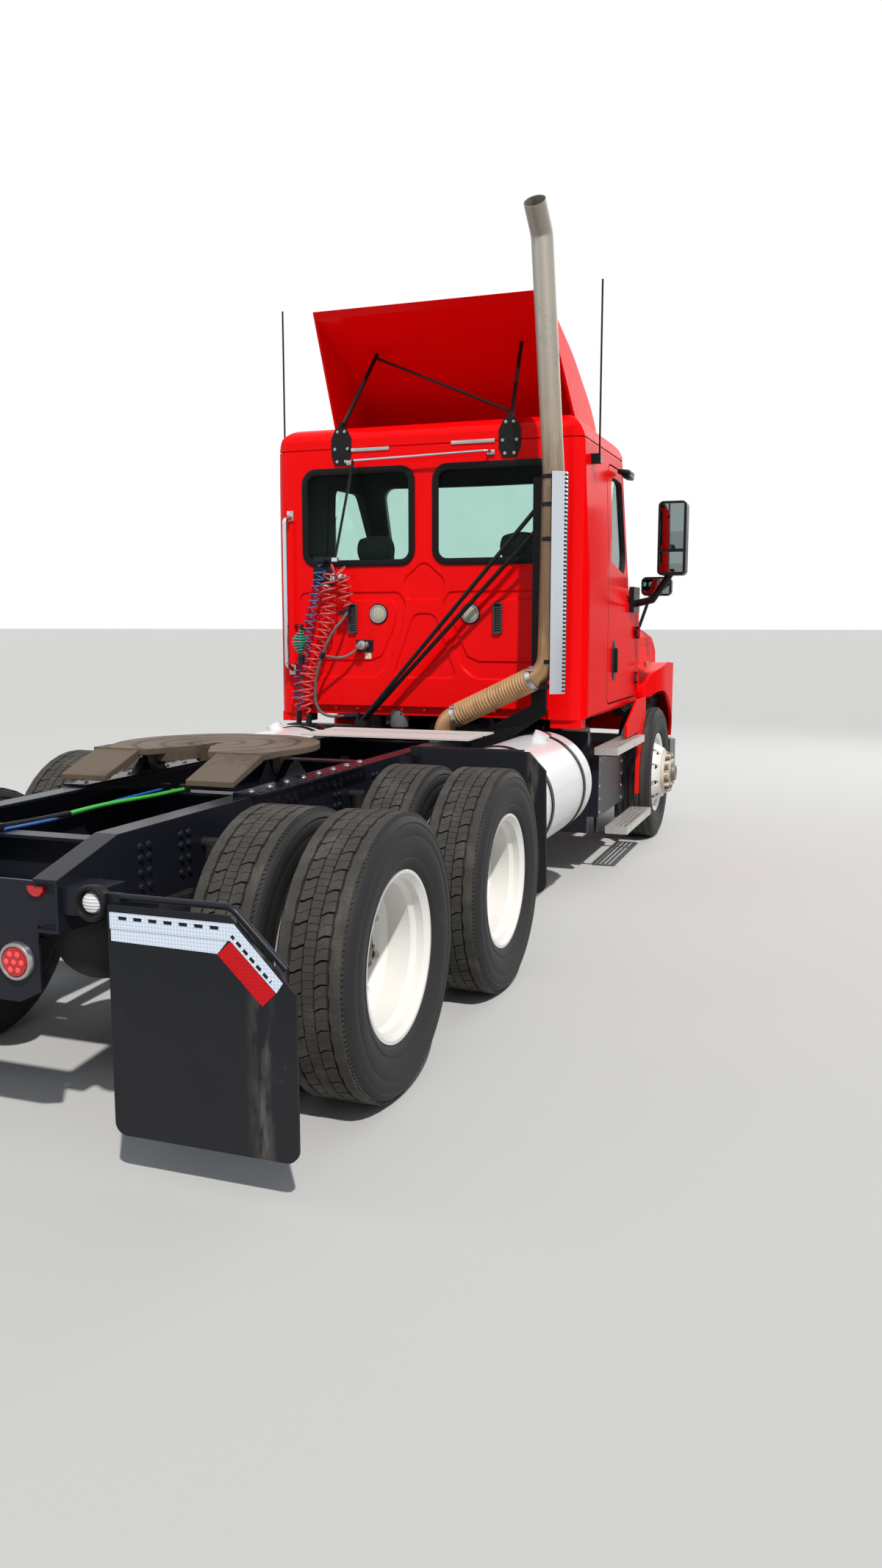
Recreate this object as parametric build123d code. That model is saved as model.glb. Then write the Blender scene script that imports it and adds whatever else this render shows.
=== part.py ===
from build123d import *
from math import cos, radians, sin, tan
import os

# Road tractor with three axles and a bonneted day cab.
# Millimetres. +X forward, +Y to the left, +Z up. The origin is on the ground under the middle of the vehicle.

# Axles and wheels
rear_drive_x = -2860
front_drive_x = -1540
steer_x = 2720
wheel_radius = 522
tyre_width = 280
tyre_bead_radius = 287
rim_lip_radius = 313
bead_half = 99.5
outer_twin_y = 1080
twin_spacing = 343
steer_tyre_y = 1070
disc_offset = twin_spacing / 2
drive_mount_y = outer_twin_y - disc_offset
steer_mount_y = steer_tyre_y + disc_offset
stud_circle_radius = 143
stud_count = 10
hub_bore_radius = 40.3
running_gap = 0.3
spindle_radius = hub_bore_radius - running_gap
kingpin_y = 890
kingpin_radius = 22
steering_arm_length = 180
tie_rod_z = 350

# Frame
rail_outer_y = 432
rail_web = 10
rail_flange = 89
rail_top_z = 1020
rail_depth = 270
rail_rear_x = -3760
rail_front_x = 3600
rail_slope_start_x = -3444
rail_tip_z = 930
rail_bottom_z = rail_top_z - rail_depth

# Cab
cab_rear_x = 540
cab_half_width = 1076
cab_bottom_z = 1100
roof_seam_z = 2845
roof_top_z = 2990
roof_corner_radius = 180
rear_corner_radius = 110
side_wall = 60
rear_wall = 45
roof_wall = 40
floor_wall = 40
cowl_z = 1800
screen_base_x = 2520
screen_top_x = 1960
screen_top_z = 2800
screen_bulge = 150
belt_z = 1840
shoulder_rise = 130
taper_x = 1150
draw_in = 95
glass_thickness = 6

# Doors
door_rear_x = 1220
door_front_x = 2246
door_bottom_z = 1165
door_top_z = 2760
door_gap = 10
door_hinge_y = cab_half_width + 17
door_hinge_zs = (1300, 1640)
hinge_pin_radius = 9

# Hood
hood_rear_x = 2345
hood_front_x = 3790
hood_wall = 24
hood_gap = 12
hood_bottom_z = 765
arch_radius = 655
fender_half_width = 1215
hood_pivot_x = 3740
hood_pivot_z = 650
hood_pin_radius = 14

# Fifth wheel
kingpin_x = -2080
fifth_top_z = 1175
fifth_half_width = 457
fifth_pivot_z = 1090
fifth_pivot_radius = 24
jaw_radius = 25.7
fifth_plate = 26

# Fuel tanks
tank_radius = 317
tank_y = 820
tank_z = 710
tank_rear_x = -720
tank_front_x = 550

# Exhaust
stack_x = 200
stack_radius = 65


def block(x0, x1, y0, y1, z0, z1):
    """A box between two corners."""
    return Pos((x0 + x1) / 2, (y0 + y1) / 2, (z0 + z1) / 2) * Box(x1 - x0, y1 - y0, z1 - z0)


def rod(start, end, radius):
    """A round bar between two points."""
    along = Vector(*end) - Vector(*start)
    plane = Plane(origin=start, z_dir=along)
    return Solid.make_cylinder(radius, along.length, plane)


def cross_bar(x, y0, y1, z, radius):
    """A round bar across the vehicle."""
    return rod((x, y0, z), (x, y1, z), radius)


def side_face(points, y, corners=0):
    """A face in a plane of constant y, from (x, z) points."""
    path = [(x, y, z) for x, z in points]
    line = FilletPolyline(*path, radius=corners, close=True) if corners else Polyline(*path, close=True)
    return make_face(line)


def side_prism(points, y0, y1, corners=0):
    """An outline seen from the side, extruded across the vehicle."""
    return extrude(side_face(points, y0, corners), amount=y1 - y0, dir=(0, 1, 0))


def end_prism(points, x0, x1, corners=0):
    """An outline seen from behind, as (y, z) points, extruded along the vehicle."""
    path = [(x0, y, z) for y, z in points]
    line = FilletPolyline(*path, radius=corners, close=True) if corners else Polyline(*path, close=True)
    return extrude(make_face(line), amount=x1 - x0, dir=(1, 0, 0))


def plan_prism(points, z0, z1, corners=0):
    """An outline seen from above, as (x, y) points, extruded upwards."""
    path = [(x, y, z0) for x, y in points]
    line = FilletPolyline(*path, radius=corners, close=True) if corners else Polyline(*path, close=True)
    return extrude(make_face(line), amount=z1 - z0, dir=(0, 0, 1))


def turned(section, x, z):
    """A closed section of (radius, y) points, spun about an axle line."""
    face = make_face(Polyline(*[(r, y, 0) for r, y in section], close=True))
    return Pos(x, 0, z) * revolve(face, Axis.Y, 360)


def other_side(shape):
    """The same shape on the other side of the vehicle."""
    return mirror(shape, about=Plane.XZ)


def both_sides(shape):
    """A shape and its mirror image, as two separate solids."""
    return Compound(children=[*shape.solids(), *other_side(shape).solids()])


def together(*shapes):
    """Shapes that share a node without touching."""
    return Compound(children=[solid for shape in shapes for solid in shape.solids()])


def save(name, shape):
    """Write one node."""
    solids = shape.solids()
    export_step(solids[0] if len(solids) == 1 else Compound(children=list(solids)), f"parts/{name}.step")


os.makedirs("parts", exist_ok=True)


# Wheels

def tyre(centre_y, x):
    """One tyre: beads, bulged sidewalls, square shoulders and a flat tread."""
    half = tyre_width / 2
    profile = [(tyre_bead_radius, -bead_half), (rim_lip_radius, -bead_half - 6), (rim_lip_radius + 3, -half + 24),
               (345, -half + 12), (415, -half), (486, -half + 8), (512, -half + 22), (wheel_radius, -half + 42)]
    section = [(r, centre_y + y) for r, y in profile] + [(r, centre_y - y) for r, y in reversed(profile)]
    return turned(section, x, wheel_radius)


def rim(mount_y, outward, x):
    """A steel disc wheel: drop centre barrel, two lips, and a dished disc with ten hand holes."""
    barrel = [(313, 285), (313, 277), (287, 271), (287, 232), (270, 215), (270, 112), (287, 98), (287, 71),
              (313, 65), (313, 57), (300, 57), (279, 66), (279, 92), (262, 107), (262, 220), (279, 237),
              (279, 268), (300, 285)]
    disc = [(266, 132), (266, 112), (248, 96), (192, 1), (111, 1), (111, 11), (186, 11), (240, 102)]
    shell = turned([(r, mount_y + outward * u) for r, u in barrel], x, wheel_radius)
    dish = turned([(r, mount_y + outward * u) for r, u in disc], x, wheel_radius)
    body = shell + dish
    for step in range(stud_count):
        angle = radians(360 / stud_count * (step + 0.5))
        hole_x = x + 218 * cos(angle)
        hole_z = wheel_radius + 218 * sin(angle)
        low, high = sorted((mount_y, mount_y + outward * 110))
        body -= rod((hole_x, low, hole_z), (hole_x, high, hole_z), 24)
    return body


def hub(mount_y, outward, inner_y, outer_y, drum_inner_y, drum_outer_y, x):
    """Wheel hub: flange, barrel, brake drum and end cap, bored for its spindle."""
    z = wheel_radius
    body = cross_bar(x, mount_y - 0.5 * outward, mount_y + 25 * outward, z, 168)
    body += cross_bar(x, inner_y, outer_y, z, 105)
    body += cross_bar(x, drum_inner_y, drum_outer_y, z, 208)
    for step in range(stud_count):
        angle = radians(360 / stud_count * step)
        stud_x = x + stud_circle_radius * cos(angle)
        stud_z = z + stud_circle_radius * sin(angle)
        body += rod((stud_x, mount_y, stud_z), (stud_x, mount_y + 60 * outward, stud_z), 15)
    return body


def drive_wheel(x):
    """Twin wheels of the left side: outer and inner rim back to back on one hub."""
    wheels = rim(drive_mount_y, 1, x) + rim(drive_mount_y, -1, x)
    wheels += hub(drive_mount_y, 1, 690, drive_mount_y + 120, 700, 880, x)
    wheels -= cross_bar(x, 680, drive_mount_y + 90, wheel_radius, hub_bore_radius)
    tyres = [tyre(outer_twin_y, x), tyre(outer_twin_y - twin_spacing, x)]
    return wheels, Compound(children=[solid for one in tyres for solid in one.solids()])


def steer_wheel():
    """Steered wheel of the left side: the disc stands outboard and the hub beyond it."""
    wheel = rim(steer_mount_y, -1, steer_x)
    wheel += hub(steer_mount_y, 1, 1000, steer_mount_y + 62, 1010, 1200, steer_x)
    wheel -= cross_bar(steer_x, 990, steer_mount_y + 30, wheel_radius, hub_bore_radius)
    return wheel, tyre(steer_tyre_y, steer_x)


for place, axle_x in (("front", front_drive_x), ("rear", rear_drive_x)):
    wheels, tyres = drive_wheel(axle_x)
    save(f"drive_rims_{place}_left", wheels)
    save(f"drive_tyres_{place}_left", tyres)
    save(f"drive_rims_{place}_right", other_side(wheels))
    save(f"drive_tyres_{place}_right", other_side(tyres))

steer_rim, steer_tyre = steer_wheel()
save("steer_rim_left", steer_rim)
save("steer_tyre_left", steer_tyre)
save("steer_rim_right", other_side(steer_rim))
save("steer_tyre_right", other_side(steer_tyre))


# Steering knuckles, tie rod and front beam axle

eye_half_height = 60
fork_gap = 0.3
fork_thickness = 28
beam_z = wheel_radius - 62


def knuckle():
    """Left knuckle: a fork round the beam's eye, the kingpin, the spindle and the arm for the tie rod."""
    top = beam_z + eye_half_height + fork_gap
    bottom = beam_z - eye_half_height - fork_gap
    body = rod((steer_x, kingpin_y, top), (steer_x, kingpin_y, top + fork_thickness), 48)
    body += rod((steer_x, kingpin_y, bottom - fork_thickness), (steer_x, kingpin_y, bottom), 48)
    body += rod((steer_x, kingpin_y, bottom), (steer_x, kingpin_y, top), kingpin_radius)
    body += block(steer_x - 45, steer_x + 45, kingpin_y + 56, kingpin_y + 92, bottom - fork_thickness, top + 28)
    for z in (bottom - fork_thickness, top):
        body += block(steer_x - 45, steer_x + 45, kingpin_y, kingpin_y + 70, z, z + fork_thickness)
    body += cross_bar(steer_x, kingpin_y + 80, steer_mount_y + 15, wheel_radius, spindle_radius)
    arm_z = bottom - fork_thickness
    arm_end = steer_x - steering_arm_length
    body += block(arm_end, steer_x, kingpin_y - 22, kingpin_y + 22, arm_z, arm_z + 24)
    body += rod((arm_end, kingpin_y, arm_z), (arm_end, kingpin_y, arm_z + 24), 30)
    body += rod((arm_end, kingpin_y, tie_rod_z - 26), (arm_end, kingpin_y, arm_z), 11)
    return body


def tie_rod():
    """Track rod between the two steering arms, with an eye at each end."""
    x = steer_x - steering_arm_length
    body = cross_bar(x, -kingpin_y + 20, kingpin_y - 20, tie_rod_z, 17)
    for y in (-kingpin_y, kingpin_y):
        body += rod((x, y, tie_rod_z - 19), (x, y, tie_rod_z + 5), 28)
        body -= rod((x, y, tie_rod_z - 30), (x, y, tie_rod_z + 30), 11.3)
    return body


def front_axle():
    """Forged I-beam with a dropped middle, spring pads and an eye at each end."""
    middle = beam_z - 25
    body = block(steer_x - 45, steer_x + 45, -560, 560, middle - 50, middle + 50)
    for side in (1, -1):
        web = end_prism([(side * 540, middle - 50), (side * 860, beam_z - 45), (side * 860, beam_z + 45),
                         (side * 540, middle + 50)], steer_x - 40, steer_x + 40)
        body += web
        body += rod((steer_x, side * kingpin_y, beam_z - eye_half_height),
                    (steer_x, side * kingpin_y, beam_z + eye_half_height), 46)
        body -= rod((steer_x, side * kingpin_y, beam_z - 100),
                    (steer_x, side * kingpin_y, beam_z + 100), kingpin_radius + running_gap)
    for x0, x1 in ((steer_x - 60, steer_x - 14), (steer_x + 14, steer_x + 60)):
        body -= block(x0, x1, -520, 520, middle - 30, middle + 30)
    return body


save("knuckle_left", knuckle())
save("knuckle_right", other_side(knuckle()))
save("tie_rod", tie_rod())


# Frame

def rail():
    """Left frame rail: an open channel whose rear end slopes down."""
    outline = [(rail_rear_x, rail_bottom_z + 12), (rail_slope_start_x, rail_bottom_z), (rail_front_x, rail_bottom_z),
               (rail_front_x, rail_top_z), (rail_slope_start_x, rail_top_z), (rail_rear_x, rail_tip_z)]
    inner_y = rail_outer_y - rail_flange
    body = side_prism(outline, inner_y, rail_outer_y)
    hollow = [(rail_rear_x - 50, rail_bottom_z + rail_web + 13), (rail_slope_start_x, rail_bottom_z + rail_web),
              (rail_front_x + 50, rail_bottom_z + rail_web), (rail_front_x + 50, rail_top_z - rail_web),
              (rail_slope_start_x, rail_top_z - rail_web), (rail_rear_x - 50, rail_tip_z - rail_web - 14)]
    return body - side_prism(hollow, inner_y - 5, rail_outer_y - rail_web)


cross_member_xs = (-3300, -2200, -900, 160)
cross_half = rail_outer_y - rail_web - running_gap
rear_panel_x = rail_rear_x + 30
lamp_ys = (250, 120)
lamp_z = 655
lamp_radius = 62


def frame():
    """Ladder frame: two rails, plain cross members, the rear lamp panel and the front member with hood brackets."""
    members = []
    for x in cross_member_xs:
        member = block(x - 40, x + 40, -cross_half, cross_half, rail_bottom_z + 30, rail_top_z - 50)
        member -= block(x - 41, x + 30, -cross_half + 60, cross_half - 60, rail_bottom_z + 42, rail_top_z - 62)
        members.append(member)
    panel = block(rear_panel_x, rear_panel_x + 12, -cross_half, cross_half, rail_bottom_z + 25, rail_tip_z - 15)
    panel += end_prism([(-330, 560), (-250, 520), (250, 520), (330, 560), (330, 790), (-330, 790)],
                       rear_panel_x, rear_panel_x + 10)
    flange = rail_web + running_gap
    front = block(rail_front_x - 60, rail_front_x, -cross_half, cross_half, rail_bottom_z + flange,
                  rail_top_z - flange)
    left_rail = rail()
    for x in (640, 1840):
        left_rail += block(x, x + 90, 350, 425, rail_top_z, cab_bottom_z)
    for side in (1, -1):
        y0, y1 = sorted((side * 325, side * 341))
        front += side_prism([(rail_front_x - 20, 762), (hood_pivot_x, hood_pivot_z - 26),
                             (hood_pivot_x + 20, hood_pivot_z), (hood_pivot_x, hood_pivot_z + 26),
                             (rail_front_x - 20, 900)], y0, y1)
        front += cross_bar(hood_pivot_x, side * 275, side * 330, hood_pivot_z, hood_pin_radius)
    return together(left_rail, other_side(left_rail), *members, panel, front)


save("frame", frame())


def tail_lamps():
    """Round lamps on the rear panel and a marker at each rail's tip."""
    body = []
    for y in lamp_ys:
        for side in (1, -1):
            body.append(rod((rear_panel_x - 26, side * y, lamp_z), (rear_panel_x, side * y, lamp_z), lamp_radius))
    return Compound(children=body)


save("tail_lamps", tail_lamps())


# Drive axles and rear suspension

shaft_y = 60


def drive_axles():
    """Two axle housings with their gear bowls, hollow ends as spindles."""
    body = rod((rear_drive_x + 300, shaft_y, wheel_radius + 42), (front_drive_x - 100, shaft_y, wheel_radius + 60), 45)
    for x in (front_drive_x, rear_drive_x):
        body += cross_bar(x, -drive_mount_y - 60, drive_mount_y + 60, wheel_radius, spindle_radius)
        body += cross_bar(x, -660, 660, wheel_radius, 68)
        body += Pos(x, shaft_y, wheel_radius) * Sphere(205)
        body += rod((x + 100, shaft_y, wheel_radius + 20), (x + 330, shaft_y, wheel_radius + 45), 95)
    return body


def rear_suspension():
    """Air bags on trailing arms, hung from brackets on the rails, with shock absorbers."""
    body = []
    for x in (front_drive_x, rear_drive_x):
        arm_z = wheel_radius - 68
        arm = side_prism([(x - 330, arm_z - 90), (x - 120, arm_z - 20), (x + 120, arm_z - 20), (x + 560, arm_z + 40),
                          (x + 560, arm_z + 100), (x + 100, arm_z), (x - 100, arm_z), (x - 330, arm_z - 60)],
                         rail_outer_y - 90, rail_outer_y - 20)
        arm += block(x + 500, x + 620, rail_outer_y - 100, rail_outer_y - 8, arm_z + 20, rail_bottom_z)
        arm += rod((x - 250, rail_outer_y - 55, arm_z - 75), (x - 250, rail_outer_y - 55, rail_bottom_z), 105)
        body += [*arm.solids(), *other_side(arm).solids()]
        shock_y = rail_outer_y + 45
        shock = rod((x - 60, shock_y, wheel_radius + 66), (x - 60, shock_y, 900), 34)
        shock += cross_bar(x - 60, rail_outer_y, shock_y + 30, 900, 20)
        body += [*shock.solids(), *other_side(shock).solids()]
    return Compound(children=body)


def front_springs():
    """Leaf springs of the front axle with their hangers and clamps."""
    spring = side_prism([(steer_x - 720, 700), (steer_x - 300, 560), (steer_x, 520), (steer_x + 300, 560),
                         (steer_x + 720, 700), (steer_x + 720, 680), (steer_x + 300, 525), (steer_x, 485),
                         (steer_x - 300, 525), (steer_x - 720, 680)], 345, 430)
    for x in (steer_x - 720, steer_x + 720):
        spring += block(x - 45, x + 45, 345, 430, 660, rail_bottom_z)
    return both_sides(spring)


save("axles", together(front_axle(), drive_axles()))
save("suspension", together(rear_suspension(), front_springs()))


# Engine, gearbox, driveshaft and radiator

inner_web_y = rail_outer_y - rail_web


def driveline():
    """Engine as one block, gearbox and shafts to the two drive axles."""
    body = block(2560, 3280, -330, 330, 640, 1480)
    body += block(2000, 2560, -300, 300, 640, 1060)
    body += block(1150, 2000, -190, 190, 660, 1000)
    body += rod((front_drive_x + 340, shaft_y, wheel_radius + 47), (1150, 30, 800), 50)
    for x in (2640, 3140):
        body += block(x, x + 80, -inner_web_y, inner_web_y, 860, 900)
    body += block(1700, 1780, -inner_web_y, inner_web_y, 800, 840)
    return body


def radiator():
    """Cooling pack ahead of the engine, standing on the rails."""
    return block(3330, 3420, -430, 430, rail_top_z, 1560)


save("driveline", together(driveline(), radiator()))


# Cab

screen_slope = (screen_top_x - screen_base_x) / (screen_top_z - cowl_z)


def bowed_plan(z, back_x, middle_x, bulge, half):
    """A plan face with a straight back and a front bowed forward in the middle."""
    side_x = middle_x - bulge
    straight = Polyline((side_x, -half, z), (back_x, -half, z), (back_x, half, z), (side_x, half, z))
    bow = ThreePointArc((side_x, half, z), (middle_x, 0, z), (side_x, -half, z))
    return make_face([*straight.edges(), bow])


def glasshouse(side, low, high):
    """Bound of the cab above the belt, where the sides draw in towards the front over a sloping shoulder."""
    half = cab_half_width - side
    front = screen_base_x + 150
    levels = ((low, 0), (belt_z, 0), (belt_z + shoulder_rise, draw_in), (high, draw_in))
    faces = [make_face(Polyline((taper_x, -half, z), (front, inward - half, z), (front, half - inward, z),
                                (taper_x, half, z), (0, half, z), (0, -half, z), close=True))
             for z, inward in levels]
    bound = loft(faces[:2]) + loft(faces[1:3]) + loft(faces[2:])
    return bound


def cab_form(side, rear, front, top, bottom):
    """The cab's outer form, or its hollow when every wall is taken off."""
    half = cab_half_width - side
    back = cab_rear_x + rear
    low = cab_bottom_z + bottom
    high = roof_top_z - top
    far = screen_base_x + 100
    shoulder = roof_corner_radius - top
    crown = high + 8
    across = end_prism([(-half, low), (half, low), (half, 2000), (half - 36, crown), (36 - half, crown),
                        (-half, 2000)], back - 20, far + 20, [30, 30, 1500, shoulder, shoulder, 1500])
    plan = plan_prism([(back, -half), (far, -half), (far, half), (back, half)], low - 20, crown + 20,
                      [rear_corner_radius - rear / 2, 5, 5, rear_corner_radius - rear / 2])
    roof = side_prism([(back - 10, low - 20), (far, low - 20), (far, 2500), (screen_top_x, high - 90), (1450, high),
                       (back - 10, high)], -half - 20, half + 20, [5, 5, 5, 300, 500, 140 - rear])
    lower = extrude(bowed_plan(low - 20, back - 20, screen_base_x - front, screen_bulge, half),
                    amount=cowl_z - low + 20)
    slant = Vector(screen_slope, 0, 1)
    raised = bowed_plan(cowl_z, back - 20, screen_base_x - front, screen_bulge, half)
    upper = extrude(raised, amount=(crown + 20 - cowl_z) * slant.length, dir=slant)
    whole = (lower + upper) & across & plan & roof & glasshouse(side, low - 20, crown + 20)
    return whole.solids().sort_by(SortBy.VOLUME)[-1]


cab_outer = cab_form(0, 0, 0, 0, 0)
cab_hollow = cab_form(side_wall, rear_wall, 60, roof_wall, floor_wall)


# Cab panels

rear_window_edge_y = (70, 857)
rear_window_z = (2090, 2710)
window_corner = 90
door_window = [(1340, 2125), (1340, 2690), (1790, 2690), (2165, 2050)]
door_window_corners = [60, 70, 90, 110]
door_outline = [(door_rear_x, door_bottom_z), (door_rear_x, door_top_z), (1800, door_top_z), (door_front_x, 1990),
                (door_front_x, door_bottom_z)]
door_corners = [60, 110, 160, 260, 40]
screen_window = [(-900, 1880), (900, 1880), (830, 2740), (-830, 2740)]
glass_inset = 22

floor_z = cab_bottom_z + floor_wall
cab_walls = cab_outer - cab_hollow
beyond = cab_half_width + 100
screen_cut = end_prism(screen_window, 1500, 2700, 90)
low_z, high_z = rear_window_z
rear_cuts = [end_prism([(side * rear_window_edge_y[0], low_z), (side * rear_window_edge_y[1], low_z),
                        (side * rear_window_edge_y[1], high_z), (side * rear_window_edge_y[0], high_z)],
                       cab_rear_x - 50, cab_rear_x + 150, window_corner) for side in (1, -1)]


def door_prism(grow):
    """The left door's outline, grown all round by the shut gap."""
    face = side_face(door_outline, 700, door_corners)
    body = extrude(offset(face, amount=grow) if grow else face, amount=beyond - 700, dir=(0, 1, 0))
    sill_y = cab_half_width - side_wall - grow
    return body - block(door_rear_x - 50, door_front_x + 50, 600, sill_y, door_bottom_z - 50, floor_z + 60)


def hinge_pins():
    """Door hinge halves on the left pillar: a lug above and below each pin."""
    body = []
    for z in door_hinge_zs:
        one = rod((door_front_x + 4, door_hinge_y, z - 45), (door_front_x + 4, door_hinge_y, z + 45),
                  hinge_pin_radius)
        for low in (z - 45, z + 31):
            one += rod((door_front_x + 4, door_hinge_y, low), (door_front_x + 4, door_hinge_y, low + 14), 15)
            one += block(door_front_x + 4, door_front_x + 50, door_hinge_y - 8, door_hinge_y + 8, low, low + 14)
            one += block(door_front_x + 22, door_front_x + 50, cab_half_width - 8, door_hinge_y, low, low + 14)
        body.append(one)
    return body[0] + body[1]


seam_depth = 9
seam_height = 7
sill_z = 1162
sill_half_width = 840
pressing_depth = 9
lamp_field = [(905, 1915), (170, 1915), (125, 1835), (150, 1690), (250, 1430), (345, 1348), (905, 1348)]
lamp_field_corners = [60, 50, 60, 300, 120, 120, 60]
lamp_island = [(860, 1864), (214, 1864), (185, 1800), (205, 1690), (296, 1490), (380, 1458), (860, 1458)]
lamp_island_corners = [50, 40, 50, 200, 60, 70, 50]
peak_field = [(75, 1775), (-75, 1775), (-232, 1350), (232, 1350)]
triangle_field = [(0, 2120), (150, 1990), (118, 1858), (-118, 1858), (-150, 1990)]


def pressing(points, corners, start_x, amount):
    """A shallow pan with drafted walls, drawn on the plane at start_x."""
    face = make_face(FilletPolyline(*[(start_x, y, z) for y, z in points], radius=corners, close=True))
    return extrude(face, amount=abs(amount), dir=(amount, 0, 0), taper=45)


def rear_pressings():
    """The pans pressed into the rear wall: one round each work lamp, a peak between them and a triangle above."""
    floor_x = cab_rear_x + pressing_depth
    pans = pressing(lamp_field, lamp_field_corners, cab_rear_x, pressing_depth)
    pans -= pressing(lamp_island, lamp_island_corners, floor_x, -pressing_depth - 1)
    pans += other_side(pans)
    pans += pressing(peak_field, [70, 70, 40, 40], cab_rear_x, pressing_depth)
    pans += pressing(triangle_field, [60, 60, 30, 30, 60], cab_rear_x, pressing_depth)
    return pans


def cab_shell():
    """Cab below the roof seam: floor, fire wall, rear wall and pillars."""
    body = cab_walls - block(0, 3000, -1500, 1500, roof_seam_z, 3500)
    body -= rear_pressings()
    body -= screen_cut
    for cut in rear_cuts:
        body -= cut
    ring = cab_outer - cab_form(seam_depth, seam_depth, seam_depth, 0, 0)
    body -= ring & block(0, 3000, -1500, 1500, roof_seam_z - seam_height, roof_seam_z)
    body -= block(cab_rear_x - 10, cab_rear_x + rear_wall - 10, -sill_half_width, sill_half_width, 1000, sill_z)
    opening = door_prism(door_gap)
    body = body - opening - other_side(opening)
    pins = hinge_pins()
    body = body + pins + other_side(pins)
    for side in (1, -1):
        y0, y1 = sorted((side * 850, side * 1050))
        body += block(cab_rear_x + 20, cab_rear_x + 150, y0, y1, cab_bottom_z - 55, cab_bottom_z + 10)
    return body


def cab_roof():
    """Roof cap above the seam."""
    return cab_walls & block(0, 3000, -1500, 1500, roof_seam_z, 3500)


def cab_glass():
    """Windscreen and the two rear windows, one pane each."""
    outer = cab_form(0, 0, glass_inset, 0, 0)
    inner = cab_form(0, 0, glass_inset + glass_thickness, 0, 0)
    pane = (screen_cut & outer) - inner
    body = [*pane.solids()]
    for cut in rear_cuts:
        slab = block(cab_rear_x + glass_inset, cab_rear_x + glass_inset + glass_thickness, -1000, 1000, 2000, 2800)
        body += (cut & slab).solids()
    return Compound(children=body)


def door():
    """Left door: outer and inner skin as one, with the window opening and the hinge barrels."""
    body = cab_walls & door_prism(0)
    body -= side_prism(door_window, 800, beyond, door_window_corners)
    for z in door_hinge_zs:
        axis = door_front_x + 4
        strap = block(axis - 60, axis, door_hinge_y - 8, door_hinge_y + 8, z - 26, z + 26)
        strap += block(axis - 60, axis - 20, cab_half_width - 8, door_hinge_y, z - 26, z + 26)
        strap += rod((axis, door_hinge_y, z - 28), (axis, door_hinge_y, z + 28), 15)
        body += strap
        body -= rod((axis, door_hinge_y, z - 60), (axis, door_hinge_y, z + 60), hinge_pin_radius + running_gap)
    return body


def door_glass():
    """Left door's pane."""
    outer = cab_form(glass_inset, 0, 0, 0, 0)
    inner = cab_form(glass_inset + glass_thickness, 0, 0, 0, 0)
    window = side_prism(door_window, 800, beyond, door_window_corners)
    return (window & outer) - inner


mirror_x = 1900


def door_mirror():
    """Left door mirror: tall housing on a bent arm from a base on the door."""
    head = block(mirror_x - 45, mirror_x + 75, 1290, 1490, 2050, 2570)
    head = fillet(head.edges().filter_by(Axis.X), 35)
    arm = block(1960, 2190, cab_half_width - 3, cab_half_width + 34, 1790, 1975)
    arm += rod((2020, cab_half_width + 20, 1850), (1980, 1240, 1880), 26)
    arm += rod((1980, 1240, 1880), (mirror_x + 20, 1380, 2070), 26)
    arm += Pos(1980, 1240, 1880) * Sphere(26)
    return head + arm - cab_outer


save("cab_shell", cab_shell())
save("cab_roof", cab_roof())
save("cab_glass", cab_glass())
left_door = door()
left_glass = door_glass()
left_mirror = door_mirror()
save("door_left", left_door)
save("door_right", other_side(left_door))
save("door_glass_left", left_glass)
save("door_glass_right", other_side(left_glass))
save("door_mirror_left", left_mirror)
save("door_mirror_right", other_side(left_mirror))


# Cab inside


def seats():
    """Two seats: cushion and back of each."""
    body = []
    for side in (1, -1):
        y0, y1 = side * 520 - 250, side * 520 + 250
        body.append(block(1020, 1520, y0, y1, floor_z + 330.3, floor_z + 450))
        body.append(side_prism([(1000, floor_z + 450.3), (1130, floor_z + 450.3), (1000, floor_z + 1180),
                                (900, floor_z + 1180)], y0 + 10, y1 - 10, 30))
    return Compound(children=body)


def seat_pedestals():
    """Pedestals that carry the seats."""
    body = []
    for side in (1, -1):
        y0, y1 = side * 520 - 190, side * 520 + 190
        body.append(block(1060, 1460, y0, y1, floor_z, floor_z + 330))
    return Compound(children=body)


def dashboard():
    """Dashboard across the cab with the steering column and wheel on the left."""
    seat = running_gap
    room = cab_form(side_wall + 6, rear_wall, 60 + seat, roof_wall, floor_wall)
    body = side_prism([(1960, 1560), (2020, 1860), (2600, 1850), (2600, 1400), (2100, 1400)], -1100, 1100, 30)
    body &= room
    wheel_plane = Plane(origin=(1800, 520, 1830), z_dir=(-0.8, 0, 0.6))
    body += rod((1795, 520, 1825), (2060, 520, 1640), 32)
    wheel = wheel_plane * Torus(215, 15)
    body += wheel
    for angle in (0, 120, 240):
        body += wheel_plane * Rot(0, 0, angle) * Pos(108, 0, 0) * Box(216, 30, 14)
    return body


save("seats", seats())
save("cab_interior", together(dashboard(), seat_pedestals()))


# Roof deflector

deflector_wall = 16
deflector_front_x = 1800


def deflector_form(inset):
    """The deflector's outer form, or its hollow."""
    base = roof_top_z - inset
    rise = [(deflector_front_x - 2 * inset, base - 110), (1640, base + 190), (1200, base + 480),
            (555 - 3 * inset, base + 735), (1130 - 9 * inset, base - 30 - 3 * inset), (1130, base - 110)]
    across = [(inset - 885, base - 130), (885 - inset, base - 130), (775 - inset, base + 770),
              (inset - 775, base + 770)]
    side = side_prism(rise, -900, 900, [10, 500, 900, 2, 10, 10])
    return side & end_prism(across, 300, 2200)


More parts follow.
